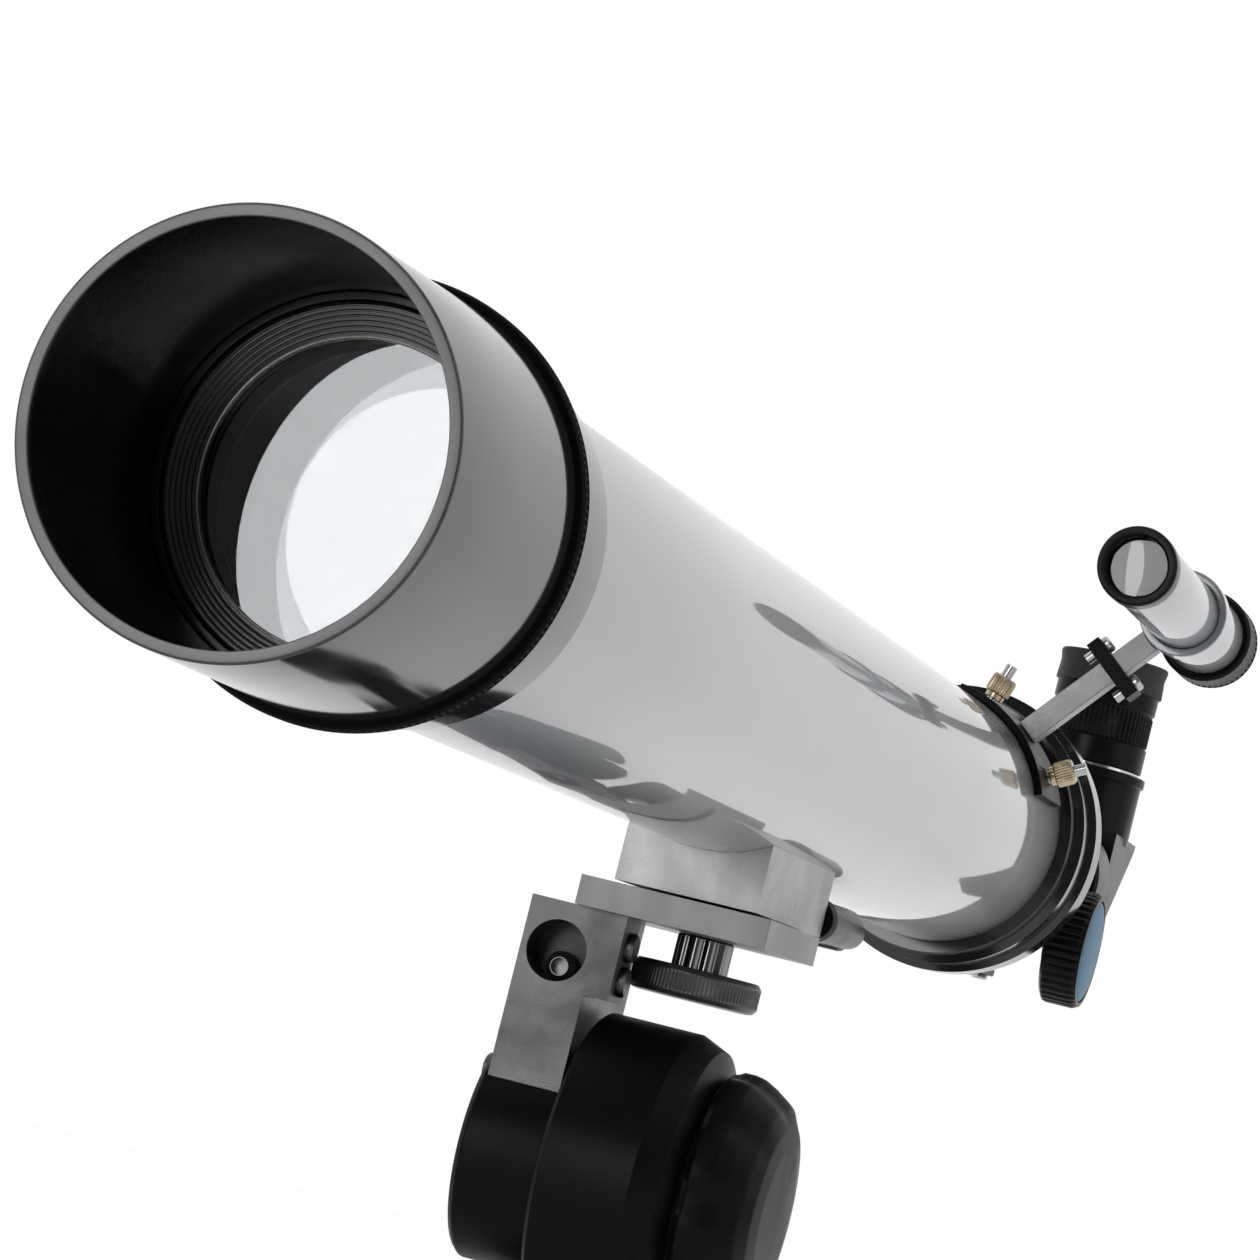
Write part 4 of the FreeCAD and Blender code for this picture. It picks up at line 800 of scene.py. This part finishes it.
@dataclass
class ObjectiveEnd(Assembly):
    """Dew shield, cell, retaining ring and the two lenses."""

    shield_front_radius: float = 38.0
    shield_rear_radius: float = 39.0
    shield_inner_radius: float = 35.7
    band_width: float = 4.2
    band_ribs: int = 180
    crown_curves: tuple[float, float] = (560.0, -410.0)
    flint_curve: float = -412.0
    clear_radius: float = 27.8

    def build(self) -> None:
        """Make every piece of the objective end."""
        self.make_shield()
        self.make_cell()
        self.make_lenses()

    def make_shield(self) -> None:
        """Flared gloss-black shield with its ribbed band."""
        span = Span.of("dew_shield")
        length, band = span.size.y, span.size.x / 2
        inner = self.shield_inner_radius
        start = length - self.band_width
        front, rear = self.shield_front_radius, self.shield_rear_radius
        outline = [
            (inner, 0.5, 0.2), (front - 0.35, 0.12, 0.2), (front, 0.5, 0.3),
            (front + (rear - front) * 0.5, start * 0.5), (rear, start - 0.2), (rear, length, 0.2),
            (inner, length)]
        shield = turned("dew_shield_shell", outline, tube_axis(span.low.y), Axis.REARWARD.vector, 256)
        self.add(shield, "telescope", Finishes.gloss_black, "black_plastic", ["dew_shield"])
        outline = [(inner, 0.5), (inner, 0.15, 0.12), (inner + 0.15, 0, 0.1), (front - 0.5, 0, 0.1),
                   (front - 0.4, 0.15, 0.12), (front - 0.4, 0.5)]
        # Thin grey skin on the shield's front face: a painted reflection of the front lights on the black
        # rim.
        rim = turned("dew_shield_rim", outline, tube_axis(span.low.y), Axis.REARWARD.vector, 256)
        self.add(rim, "telescope", Finishes.rim_reflection_grey, "black_plastic")
        outline = [
            (rear - 0.3, start), (band - 0.5, start, 0.4), (band, start + 0.9, 0.3), (band, start + 1.2),
            (band, length - 1.4), (band, length - 0.8, 0.4), (band - 0.6, length, 0.3),
            (rear - 0.3, length)]
        ribs = [Ribs(self.band_ribs, 0.4, start + 1.0, length - 1.2)]
        grip = turned("dew_shield_band", outline, tube_axis(span.low.y), Axis.REARWARD.vector, 1080, ribs)
        self.add(grip, "telescope", Finishes.band_black, "black_plastic")
        lining = turned("dew_shield_lining", [
            (inner - 0.04, 2.0), (inner + 0.02, 1.6), (inner + 0.02, length - 12),
            (inner - 0.04, length - 12)],
            tube_axis(span.low.y), Axis.REARWARD.vector, 192)
        self.add(lining, "telescope", Finishes.inner_black, "black_cell")

    def make_cell(self) -> None:
        """Cell with its collar, and the ringed retainer in front of the glass."""
        span = Span.of("objective_cell")
        collar = span.size.x / 2
        tube_start = Span.of("main_tube").low.y - span.low.y
        nose_end = Span.of("dew_shield").high.y - span.low.y
        nose = self.shield_inner_radius - 0.05
        outline = [
            (34.15, 0, 0.1), (nose, 0, 0.3), (nose, nose_end), (collar, nose_end),
            (collar, tube_start - 1.0, 0.3),
            (collar - 0.9, tube_start, 0.3), (32.4, tube_start), (32.4, span.size.y), (30.6, span.size.y),
            (30.6, 17.5), (28.2, 15.9), (28.2, 13.6), (30.1, 13.6), (30.1, 4.7), (34.15, 4.7)]
        cell = turned("objective_cell_ring", outline, tube_axis(span.low.y), Axis.REARWARD.vector, 256)
        self.add(cell, "telescope", Finishes.gloss_black, "black_cell", ["objective_cell"])
        ring = Span.of("lens_retaining_ring")
        outer, depth = ring.size.x / 2, ring.size.y
        steps: list[Corner] = [(self.clear_radius, depth), (self.clear_radius, 2.0, 0.2)]
        grooves = 6
        for groove in range(grooves):
            share = groove / grooves
            radius = self.clear_radius + 0.3 + (outer - 0.8 - self.clear_radius) * share
            level = 1.8 * (1 - share) + 0.15
            steps += [(radius, level, 0.05), (radius + 0.55, level - 0.12, 0.05),
                      (radius + 0.6, level + 0.25, 0.05), (radius + 0.85, level + 0.2, 0.05)]
        steps += [(outer - 0.4, 0.1, 0.1), (outer, 0.4, 0.1), (outer, depth)]
        retainer = turned("retaining_ring_grooved", steps, tube_axis(ring.low.y), Axis.REARWARD.vector, 256)
        self.add(retainer, "telescope", Finishes.ring_black, "black_cell", ["lens_retaining_ring"])
        edge, sunk = self.clear_radius - 0.06, self.clear_radius + 0.3
        outline = [(edge, 2.6), (edge, 1.95, 0.1), (sunk, 1.72, 0.1), (sunk, 2.6)]
        lip = turned("retaining_ring_worn_lip", outline, tube_axis(ring.low.y), Axis.REARWARD.vector, 256)
        self.add(lip, "telescope", Finishes.worn_edge, "black_cell")

    def make_lenses(self) -> None:
        """Crown and flint with true spherical faces, so that each face mirrors the lights by itself."""
        crown, flint = Span.of("objective_crown"), Span.of("objective_flint")
        radius = 29.95
        front = curved_face(self.crown_curves[0], radius, 0.0)
        rear = curved_face(self.crown_curves[1], radius, crown.size.y)
        glass = turned("crown_lens", front + rear[::-1], tube_axis(crown.low.y), Axis.REARWARD.vector, 192)
        self.add(glass, "telescope", Finishes.glass, "lens_glass", ["objective_crown"])
        sag = abs(self.flint_curve) - math.sqrt(self.flint_curve ** 2 - radius ** 2)
        front = curved_face(self.flint_curve, radius, sag)
        rear = [(radius, flint.size.y), (0.0, flint.size.y)]
        glass = turned("flint_lens", front + rear, tube_axis(flint.low.y), Axis.REARWARD.vector, 192)
        self.add(glass, "telescope", Finishes.glass, "lens_glass", ["objective_flint"])
        self.dress(Finishes.inner_black, "lens_spacer")


@dataclass
class MainTube(Assembly):
    """The painted tube and its baffles."""

    wall: float = 1.2

    def build(self) -> None:
        """Make the tube."""
        span = Span.of("main_tube")
        radius, length = span.size.x / 2, span.size.y
        bore = radius - self.wall
        outline = [(bore, 0, 0.2), (radius, 0, 0.3), (radius, length * 0.25), (radius, length * 0.5),
                   (radius, length * 0.75), (radius, length, 0.3), (bore, length, 0.2)]
        tube = turned("painted_tube", outline, tube_axis(span.low.y), Axis.REARWARD.vector, 256)
        self.add(tube, "telescope", Finishes.tube_silver, "tube_silver", ["main_tube"])
        lining = turned("tube_lining", lining_outline(bore, length), tube_axis(span.low.y),
                        Axis.REARWARD.vector, 96)
        self.add(lining, "telescope", Finishes.flat_black, "black_cell")
        self.dress(Finishes.inner_black, "tube_baffles")


@dataclass(frozen=True)
class Lathe:
    """Where a turned frame node stands: its start, axis, radius and length, read from its box."""

    node: str
    axis: Axis

    @property
    def _index(self) -> int:
        """Which of x, y and z the axis lies along."""
        return max(range(3), key=lambda place: abs(self.axis.value[place]))

    @property
    def origin(self) -> Vector:
        """Start of the axis."""
        span = Span.of(self.node)
        start = span.middle.copy()
        index = self._index
        start[index] = span.low[index] if self.axis.value[index] > 0 else span.high[index]
        return start

    @property
    def length(self) -> float:
        """Length along the axis."""
        return Span.of(self.node).size[self._index]

    @property
    def radius(self) -> float:
        """Outer radius."""
        size = Span.of(self.node).size
        return max(size[place] for place in range(3) if place != self._index) / 2

    def piece(self, name: str, outline: Sequence[Corner], segments: int = 160,
              ribs: Iterable[Ribs] = ()) -> bpy.types.Object:
        """Turn an outline on this axis."""
        return turned(name, outline, self.origin, self.axis.vector, segments, ribs)


@dataclass
class Bracket(Assembly):
    """Saddle, plate, arm, clamping screw and pan handle under the tube."""

    knob_ribs: int = 96
    neck_flutes: int = 10
    neck_radius: float = 6.8
    grip_radius: float = 5.6

    def build(self) -> None:
        """Dress the castings and turn the hand screw."""
        widths = {"tube_saddle": 0.7, "mount_plate": 0.5, "plate_lug": 0.5, "tilt_arm": 1.1}
        for node, width in widths.items():
            soften(node, width)
        # The saddle's lighter tone is partly painted light on its front face.
        self.dress(Finishes.pale_cast, "tube_saddle")
        self.dress(Finishes.plate_grey, "mount_plate")
        # The arm and lug get painted shade in their holes and inner corners.
        self.dress(Finishes.dark_cast_recess_shade, "tilt_arm", "plate_lug")
        soften("bracket_screws", 0.2)
        self.dress(Finishes.dark_steel, "bracket_screws")
        soften("cross_bolt", 0.4)
        self.dress(Finishes.dull_steel, "cross_bolt")
        self.make_knob()
        self.make_handle()

    def make_knob(self) -> None:
        """Knurled disc with a fluted neck below the plate, and its threaded end."""
        lathe = Lathe("saddle_knob", Axis.UP)
        plate = Span.of("mount_plate")
        head, neck_end = 7.5, plate.low.z - lathe.origin.z - 0.05
        radius, neck = lathe.radius, self.neck_radius
        outline = [
            (0, 0), (radius - 2.4, 0, 0.4), (radius - 0.9, 0.3, 0.6), (radius, 1.3, 0.5),
            (radius, 2.2), (radius, 5.4),
            (radius, head - 1.2, 0.6), (radius - 1.0, head, 0.5), (3.9, head), (3.9, lathe.length),
            (0, lathe.length)]
        knob = lathe.piece("saddle_hand_screw", outline, 960,
                           (Ribs(self.knob_ribs, 0.28, 1.5, head - 1.5),))
        self.add(knob, "saddle_clamp", Finishes.knob_black, "black_casting", ["saddle_knob"])
        outline = [(3.8, head - 0.1), (neck, head - 0.1), (neck, head + 0.6), (neck, neck_end - 0.4),
                   (neck - 0.4, neck_end), (3.8, neck_end)]
        flutes = lathe.piece("saddle_hand_screw_neck", outline, 640,
                             (Ribs(self.neck_flutes, 0.9, head - 0.2, neck_end, 1.5),))
        self.add(flutes, "saddle_clamp", Finishes.dark_chrome, "black_casting")

    def make_handle(self) -> None:
        """Pan handle with a soft grip."""
        lathe = Lathe("pan_handle", Axis.REARWARD)
        grip, length, thread = self.grip_radius, lathe.length, 11.0
        outline = [
            (0, 0), (1.9, 0, 0.2), (1.9, thread), (grip - 0.7, thread, 0.3), (grip - 0.05, thread + 3, 0.8),
            (grip - 0.8, thread + 20, 3), (grip - 1.3, length - 4), (grip - 2.2, length - 0.6, 1.2),
            (0, length)]
        handle = lathe.piece("pan_handle_grip", outline, 96)
        self.add(handle, "telescope", Finishes.deep_black, "black_casting", ["pan_handle"])


@dataclass
class Head(Assembly):
    """Altitude knuckle, its knob, and the turning base."""

    lobes: int = 9
    lobe_depth: float = 1.5
    clamp_ribs: int = 18

    def build(self) -> None:
        """Dress the castings and turn both hand knobs."""
        soften("azimuth_head", 5.5, 6, 22.0)
        for node in ("arm_hub", "tripod_base"):
            soften(node, 0.8)
        self.dress(Finishes.satin_black, "azimuth_head", "arm_hub", "tripod_base")
        soften("altitude_bolt", 0.5)
        self.make_altitude_knob()
        self.make_clamp_knob()

    def make_altitude_knob(self) -> None:
        """Lobed knob that clamps the tilt."""
        lathe = Lathe("altitude_knob", Axis.LEFT)
        radius, width = lathe.radius, lathe.length
        outline = [
            (5.05, 0), (radius - 1.2, 0, 0.5), (radius, 1.4, 0.8), (radius, 4.0), (radius - 0.5, 6.5, 2.0),
            (radius - 2.0, 9.5, 2.5), (radius - 5.0, width - 3.0, 3.0), (radius - 9.5, width - 0.9, 3.0),
            (radius - 15, width - 0.1, 3.0), (0.0, width), (0.0, width - 3), (5.05, width - 3)]
        ribs = (Ribs(self.lobes, self.lobe_depth, 1.0, width - 1.5, 2.0),)
        mesh = bmesh.new()
        add_turned(mesh, outline, lathe.origin, lathe.axis.vector, 720, closed=True, ribs=ribs)
        knob = finish_mesh("lobed_altitude_knob", mesh)
        self.add(knob, "altitude_clamp", Finishes.satin_black, "black_plastic", ["altitude_knob"])

    def make_clamp_knob(self) -> None:
        """Ribbed knob that clamps the turning."""
        lathe = Lathe("azimuth_clamp_knob", Axis.REARWARD)
        radius, length = lathe.radius, lathe.length
        start = length - 13.2
        outline = [
            (0, 0), (2.9, 0, 0.2), (2.9, start - 4), (5.9, start - 3.3, 0.4), (5.9, start),
            (radius - 0.6, start + 1.2, 0.5),
            (radius, start + 2.4, 0.5), (radius, start + 4), (radius, length - 2.0, 0.8),
            (radius - 1.6, length, 0.8),
            (0, length)]
        knob = lathe.piece("ribbed_clamp_knob", outline, 540,
                           (Ribs(self.clamp_ribs, 1.0, start + 2, length - 1.8),))
        self.add(knob, "azimuth_clamp", Finishes.satin_black, "black_plastic", ["azimuth_clamp_knob"])


@dataclass
class Focuser(Assembly):
    """Focuser, its hand knobs, draw tube, diagonal and eyepiece."""

    knob_flutes: int = 40
    flute_depth: float = 0.5
    dome: float = 2.4

    def build(self) -> None:
        """Dress the body and turn the knobs, screws and eyepiece."""
        soften("focuser_body", 0.35)
        for node in ("pinion_cover", "diagonal_body", "diagonal_cover"):
            soften(node, 0.5)
        for node in ("draw_tube", "eyepiece_holder", "diagonal_nose", "eyepiece_barrel",
                     "pinion_cover_screws"):
            soften(node, 0.2)
        self.dress(Finishes.satin_black, "pinion_cover")
        self.dress(Finishes.gloss_black, "focuser_body")
        self.dress(Finishes.deep_black, "diagonal_body", "diagonal_cover", "eyepiece_holder")
        self.make_knobs()
        self.make_eyepiece()
        self.make_thumbscrew("holder_thumbscrew", "holder_screw")
        self.make_thumbscrew("diagonal_thumbscrew", "diagonal_screw")

    def make_knobs(self) -> None:
        """Pair of fluted knobs and their domed pale caps."""
        caps = bmesh.new()
        for side, axis in (("left", Axis.LEFT), ("right", Axis.RIGHT)):
            lathe = Lathe(f"focus_knob_{side}", axis)
            radius, width = lathe.radius, lathe.length
            outline = [
                (2.05, 0), (6.9, 0, 0.3), (7.9, 1.5, 0.3), (radius - 2.2, 1.6, 0.4),
                (radius - 0.3, 2.6, 0.8),
                (radius, 3.6), (radius, width - 1.6, 0.6), (radius - 0.8, width, 0.4),
                (radius - 2.0, width, 0.1),
                (radius - 2.0, width - 1.2), (2.05, width - 1.2)]
            ribs = (Ribs(self.knob_flutes, self.flute_depth, 3.0, width - 1.2, 2.0),)
            knob = lathe.piece(f"fluted_focus_knob_{side}", outline, 640, ribs)
            self.add(knob, "focus_shaft", Finishes.deep_black, "black_plastic", [f"focus_knob_{side}"])
            edge, seat = radius - 2.15, width - 1.15
            rise = self.dome - 0.6
            dome = [(edge * math.sin(turn), seat + 0.6 + rise * math.cos(turn))
                    for turn in (step * math.pi / 20 for step in range(11))]
            outline = [(0.0, seat), (edge, seat), *dome[::-1]]
            add_turned(caps, outline, lathe.origin, axis.vector, 96, closed=False)
        piece = finish_mesh("domed_knob_caps", caps)
        self.add(piece, "focus_shaft", Finishes.blue_cap, "blue_cap", ["focus_knob_caps"])

    def make_thumbscrew(self, node: str, body: str) -> None:
        """Knurled hand screw."""
        lathe = Lathe(node, Axis.RIGHT)
        radius, length = lathe.radius, lathe.length
        start = length - 7.0
        outline = [
            (0, 0), (1.9, 0, 0.2), (1.9, start - 1.4), (3.1, start - 1.2, 0.1), (3.1, start),
            (radius - 0.3, start + 0.5, 0.3),
            (radius, start + 1.0), (radius, length - 1.2), (radius - 0.8, length - 0.1, 0.3), (0, length)]
        screw = lathe.piece(f"knurled_{node}", outline, 360, (Ribs(36, 0.3, start + 0.9, length - 1.1),))
        self.add(screw, body, Finishes.chrome, "chrome", [node])

    def make_eyepiece(self) -> None:
        """Ribbed grip of the eyepiece and its rolled rubber cup."""
        lathe = Lathe("eyepiece_body", Axis.UP)
        radius, length = lathe.radius, lathe.length
        outline = [
            (14.65, 0), (radius, 0.1, 0.3), (radius, 8, 0.3), (radius - 0.7, 8.5), (radius - 0.2, 9.0),
            (radius - 0.2, length - 10), (radius - 0.7, length - 9.2), (radius, length - 8.4, 0.2),
            (radius, length - 1, 0.5), (radius - 1, length, 0.3), (9.0, length), (9.0, length - 4),
            (11.2, length - 4),
            (11.2, 4), (14.65, 4)]
        grip = lathe.piece("ribbed_eyepiece", outline, 540, (Ribs(60, 0.45, 8.8, length - 9.5),))
        self.add(grip, "eyepiece", Finishes.deep_black, "black_plastic", ["eyepiece_body"])
        lathe = Lathe("eyecup", Axis.UP)
        radius, length = lathe.radius, lathe.length
        outline = [
            (radius - 1.15, 0), (radius - 0.35, 0.1, 0.4), (radius - 0.75, length - 4, 2.0),
            (radius - 0.2, length - 1.0, 0.5),
            (radius - 0.5, length, 0.6), (radius - 1.7, length - 0.2, 0.6), (radius - 2.6, length - 4, 1.0),
            (9.6, length - 5), (9.6, 3.1), (radius - 1.15, 3.1)]
        cup = lathe.piece("rolled_eyecup", outline, 160)
        self.add(cup, "eyepiece", Finishes.rubber, "rubber", ["eyecup"])


@dataclass
class Finder(Assembly):
    """Finder scope with its stalk, foot and knurled nuts."""

    nut_ribs: int = 28
    nut_length: float = 7.0
    nut_radius: float = 3.5
    grip_ribs: int = 48
    lens_curve: float = 160.0

    def build(self) -> None:
        """Turn the tubes and nuts and dress the bracket."""
        for node in ("finder_stalk", "finder_crossbar", "finder_foot", "finder_clamp_ring"):
            soften(node, 0.4)
        for node in ("crossbar_screws", "finder_studs"):
            soften(node, 0.15)
        self.dress(Finishes.cast_grey, "finder_stalk")
        self.dress(Finishes.satin_black, "finder_crossbar", "finder_foot")
        self.dress(Finishes.tube_silver, "finder_clamp_ring")
        self.make_barrels()
        self.make_lens()
        self.make_eyepiece()
        for side in ("upper", "lower"):
            self.make_nut(side)

    def make_barrels(self) -> None:
        """Front ring and the two silver barrels."""
        lathe = Lathe("finder_front_ring", Axis.REARWARD)
        radius, length = lathe.radius - 0.01, lathe.length
        outline = [(7.8, 0.7, 0.2), (8.3, 0.05, 0.3), (radius - 0.5, 0, 0.3), (radius, 0.6, 0.4),
                   (radius, length, 0.3), (radius - 0.5, length), (radius - 0.5, 3), (7.8, 3)]
        self.add(lathe.piece("finder_rim", outline), "telescope", Finishes.deep_black, "black_plastic",
                 ["finder_front_ring"])
        lathe = Lathe("finder_barrel", Axis.REARWARD)
        radius, length = lathe.radius, lathe.length
        outline = [(radius - 1, 0), (radius, 0, 0.1), (radius, length, 0.2), (radius - 1, length, 0.2)]
        self.add(lathe.piece("finder_tube", outline), "telescope", Finishes.tube_silver, "tube_silver",
                 ["finder_barrel"])
        lining = lathe.piece("finder_tube_lining", lining_outline(radius - 1, length), 96)
        self.add(lining, "telescope", Finishes.flat_black, "black_cell")
        lathe = Lathe("finder_rear_barrel", Axis.REARWARD)
        radius, length = lathe.radius, lathe.length
        outline = [(radius - 0.95, 0), (radius - 0.4, 0, 0.3), (radius, 0.6, 0.4), (radius, length, 0.2),
                   (radius - 0.9, length), (radius - 0.9, 6), (radius - 0.95, 6)]
        self.add(lathe.piece("finder_rear_tube", outline), "telescope", Finishes.tube_silver, "tube_silver",
                 ["finder_rear_barrel"])

    def make_lens(self) -> None:
        """Front lens with a true spherical front face."""
        lathe = Lathe("finder_objective", Axis.REARWARD)
        radius, length = lathe.radius, lathe.length
        front = curved_face(self.lens_curve, radius, 0.0)
        lens = lathe.piece("finder_front_lens", front + [(radius, length), (0.0, length)])
        self.add(lens, "telescope", Finishes.glass, "lens_glass", ["finder_objective"])

    def make_eyepiece(self) -> None:
        """Ribbed eyepiece that focuses the finder."""
        lathe = Lathe("finder_eyepiece", Axis.REARWARD)
        radius, length = lathe.radius, lathe.length
        sleeve, start = 9.83, 10.0
        outline = [
            (sleeve - 1.2, 0), (sleeve, 0, 0.2), (sleeve, start), (radius - 0.9, start, 0.4),
            (radius, start + 1.0, 0.5),
            (radius, start + 3), (radius, length - 5.5, 0.4), (radius - 0.6, length - 4.6, 0.4),
            (radius - 0.7, length - 3, 0.5),
            (radius - 2.2, length, 0.6), (5.5, length, 0.2), (5.5, length - 2), (sleeve - 1.2, length - 4)]
        grip = lathe.piece("finder_eye_grip", outline, 480,
                           (Ribs(self.grip_ribs, 0.4, start + 1.2, length - 5.6),))
        self.add(grip, "finder_focus", Finishes.satin_black, "black_plastic", ["finder_eyepiece"])

    def make_nut(self, side: str) -> None:
        """Knurled brass nut on its stud."""
        node = f"finder_nut_{side}"
        middle = Span.of(node).middle
        outward = (middle - tube_axis(middle.y)).normalized()
        radius, length = self.nut_radius, self.nut_length
        outline = [
            (1.65, 0.05), (radius - 0.8, 0.05, 0.2), (radius - 0.8, 1.6), (radius - 0.2, 1.8, 0.2),
            (radius, 2.3),
            (radius, length - 0.9), (radius - 0.5, length - 0.05, 0.2), (1.65, length - 0.05)]
        nut = turned(f"knurled_nut_{side}", outline, middle - outward * length / 2, outward, 336,
                     (Ribs(self.nut_ribs, 0.3, 2.2, length - 0.8),))
        self.add(nut, f"{side}_nut", Finishes.brass, "brass", [node])


@dataclass
class Studio:
    """Camera, floor, backdrop light and soft boxes.

    Attributes:
        camera_place: camera position in millimetres.
        heading: degrees the camera is turned towards -X from +Y.
        climb: degrees it looks above the horizon.
        roll: degrees its right side is raised.
        focal_length: lens in millimetres on a 36 mm sensor.
        floor_radius: radius of the floor in metres.
        front_light: strength of the surroundings on the camera's side, where 1 is white.
    """

    camera_place: tuple[float, float, float] = (286.8, -1243.05, 125.3)
    heading: float = 14.463
    climb: float = 4.106
    roll: float = 14.06
    focal_length: float = 155.59
    floor_radius: float = 1.7
    front_light: float = 0.12

    def build(self) -> None:
        """Set up everything that isn't the telescope."""
        self.make_camera()
        self.make_floor()
        self.make_world()
        self.make_lights()

    def make_camera(self) -> None:
        """Place the camera."""
        heading, climb, roll = (math.radians(angle) for angle in (self.heading, self.climb, self.roll))
        level_share = math.cos(climb)
        ahead = Vector((-math.sin(heading) * level_share, math.cos(heading) * level_share, math.sin(climb)))
        level = ahead.cross(Vector((0, 0, 1))).normalized()
        right = level * math.cos(roll) + level.cross(ahead) * math.sin(roll)
        up = right.cross(ahead)
        data = bpy.data.cameras.new("camera")
        data.lens = self.focal_length
        data.sensor_width = 36.0
        data.clip_start = 0.01
        camera = bpy.data.objects.new("camera", data)
        bpy.context.scene.collection.objects.link(camera)
        rotation = camera.matrix_world.to_3x3()
        for row in range(3):
            rotation[row][0], rotation[row][1], rotation[row][2] = right[row], up[row], -ahead[row]
        camera.matrix_world = rotation.to_4x4()
        camera.location = Vector(self.camera_place) * MM
        bpy.context.scene.camera = camera

    def make_floor(self) -> None:
        """Wide pale floor under the head."""
        mesh = bmesh.new()
        bmesh.ops.create_circle(mesh, cap_ends=True, segments=96, radius=self.floor_radius)
        floor = finish_mesh("floor", mesh)
        floor.location.z = CAD_BOUNDS[0][2] - 0.0002
        Floor("pale_floor", (0.9, 0.9, 0.9), (0.8, 0.9), dust=(0.88, 0.88, 0.88)).on(floor)

    def make_world(self) -> None:
        """White surroundings, dimmer towards the front, with an even white backdrop."""
        world = bpy.data.worlds.new("studio")
        bpy.context.scene.world = world
        world.use_nodes = True
        tree = world.node_tree
        back = tree.nodes["Background"]
        place = tree.nodes.new("ShaderNodeTexCoord")
        split = tree.nodes.new("ShaderNodeSeparateXYZ")
        tree.links.new(place.outputs["Generated"], split.inputs["Vector"])
        strength = remap(tree, split.outputs["Y"], (-0.75, -0.1), (self.front_light, 1.0))
        seen = tree.nodes.new("ShaderNodeLightPath")
        backdrop = tree.nodes.new("ShaderNodeMath")
        backdrop.operation = "MAXIMUM"
        tree.links.new(strength, backdrop.inputs[0])
        tree.links.new(seen.outputs["Is Camera Ray"], backdrop.inputs[1])
        tree.links.new(backdrop.outputs["Value"], back.inputs["Strength"])
        back.inputs["Color"].default_value = (1.0, 1.0, 1.0, 1.0)
        bpy.context.scene.view_settings.view_transform = "Standard"

    def make_lights(self) -> None:
        """Soft boxes round the telescope."""
        self.soft_box("side_box", (1.6, -0.2, 0.9), (0, 0, 0.2), (1.2, 1.8), 5.0)
        self.soft_box("top_box", (0.0, -0.2, 2.2), (0, 0, 0.2), (1.6, 2.4), 5.0)
        self.soft_box("lens_box", (-0.78, -2.35, 0.45), (0, -0.4, 0.2), (0.98, 1.14), 16.5, "ELLIPSE")

    def soft_box(self, name: str, place: Sequence[float], target: Sequence[float], size: Sequence[float],
                 power: float, shape: str = "RECTANGLE") -> None:
        """Add one area light.

        Args:
            name: name of the light.
            place: where it stands, in metres.
            target: what it points at, in metres.
            size: width and height in metres.
            power: watts.
            shape: outline of the light.
        """
        data = bpy.data.lights.new(name, "AREA")
        data.shape = shape
        data.size, data.size_y = size
        data.energy = power
        lamp = bpy.data.objects.new(name, data)
        lamp.location = place
        lamp.rotation_euler = (Vector(target) - Vector(place)).to_track_quat("-Z", "Y").to_euler()
        bpy.context.scene.collection.objects.link(lamp)


def dress_everything_else() -> None:
    """First dressing of the frame nodes by their record slot."""
    by_slot = {"black_plastic": Finishes.gloss_black, "black_casting": Finishes.satin_black,
               "black_cell": Finishes.inner_black, "tube_silver": Finishes.tube_silver,
               "cast_aluminium": Finishes.cast_grey, "steel": Finishes.steel, "chrome": Finishes.chrome,
               "brass": Finishes.brass, "nylon": Finishes.nylon, "blue_cap": Finishes.blue_cap,
               "rubber": Finishes.rubber, "lens_glass": Finishes.glass, "mirror": Finishes.mirror}
    for part in frame["record"]["subparts"]:
        by_slot[part["material_slot"]].on(frame["nodes"][part["node"]])


def main() -> None:
    """Build the telescope and its studio."""
    logging.basicConfig(level=logging.INFO, format="%(name)s: %(message)s")
    Shared.build()
    dress_everything_else()
    for part in (ObjectiveEnd(), MainTube(), Bracket(), Head(), Focuser(), Finder(), Studio()):
        part.build()


if __name__ == "__main__":
    main()
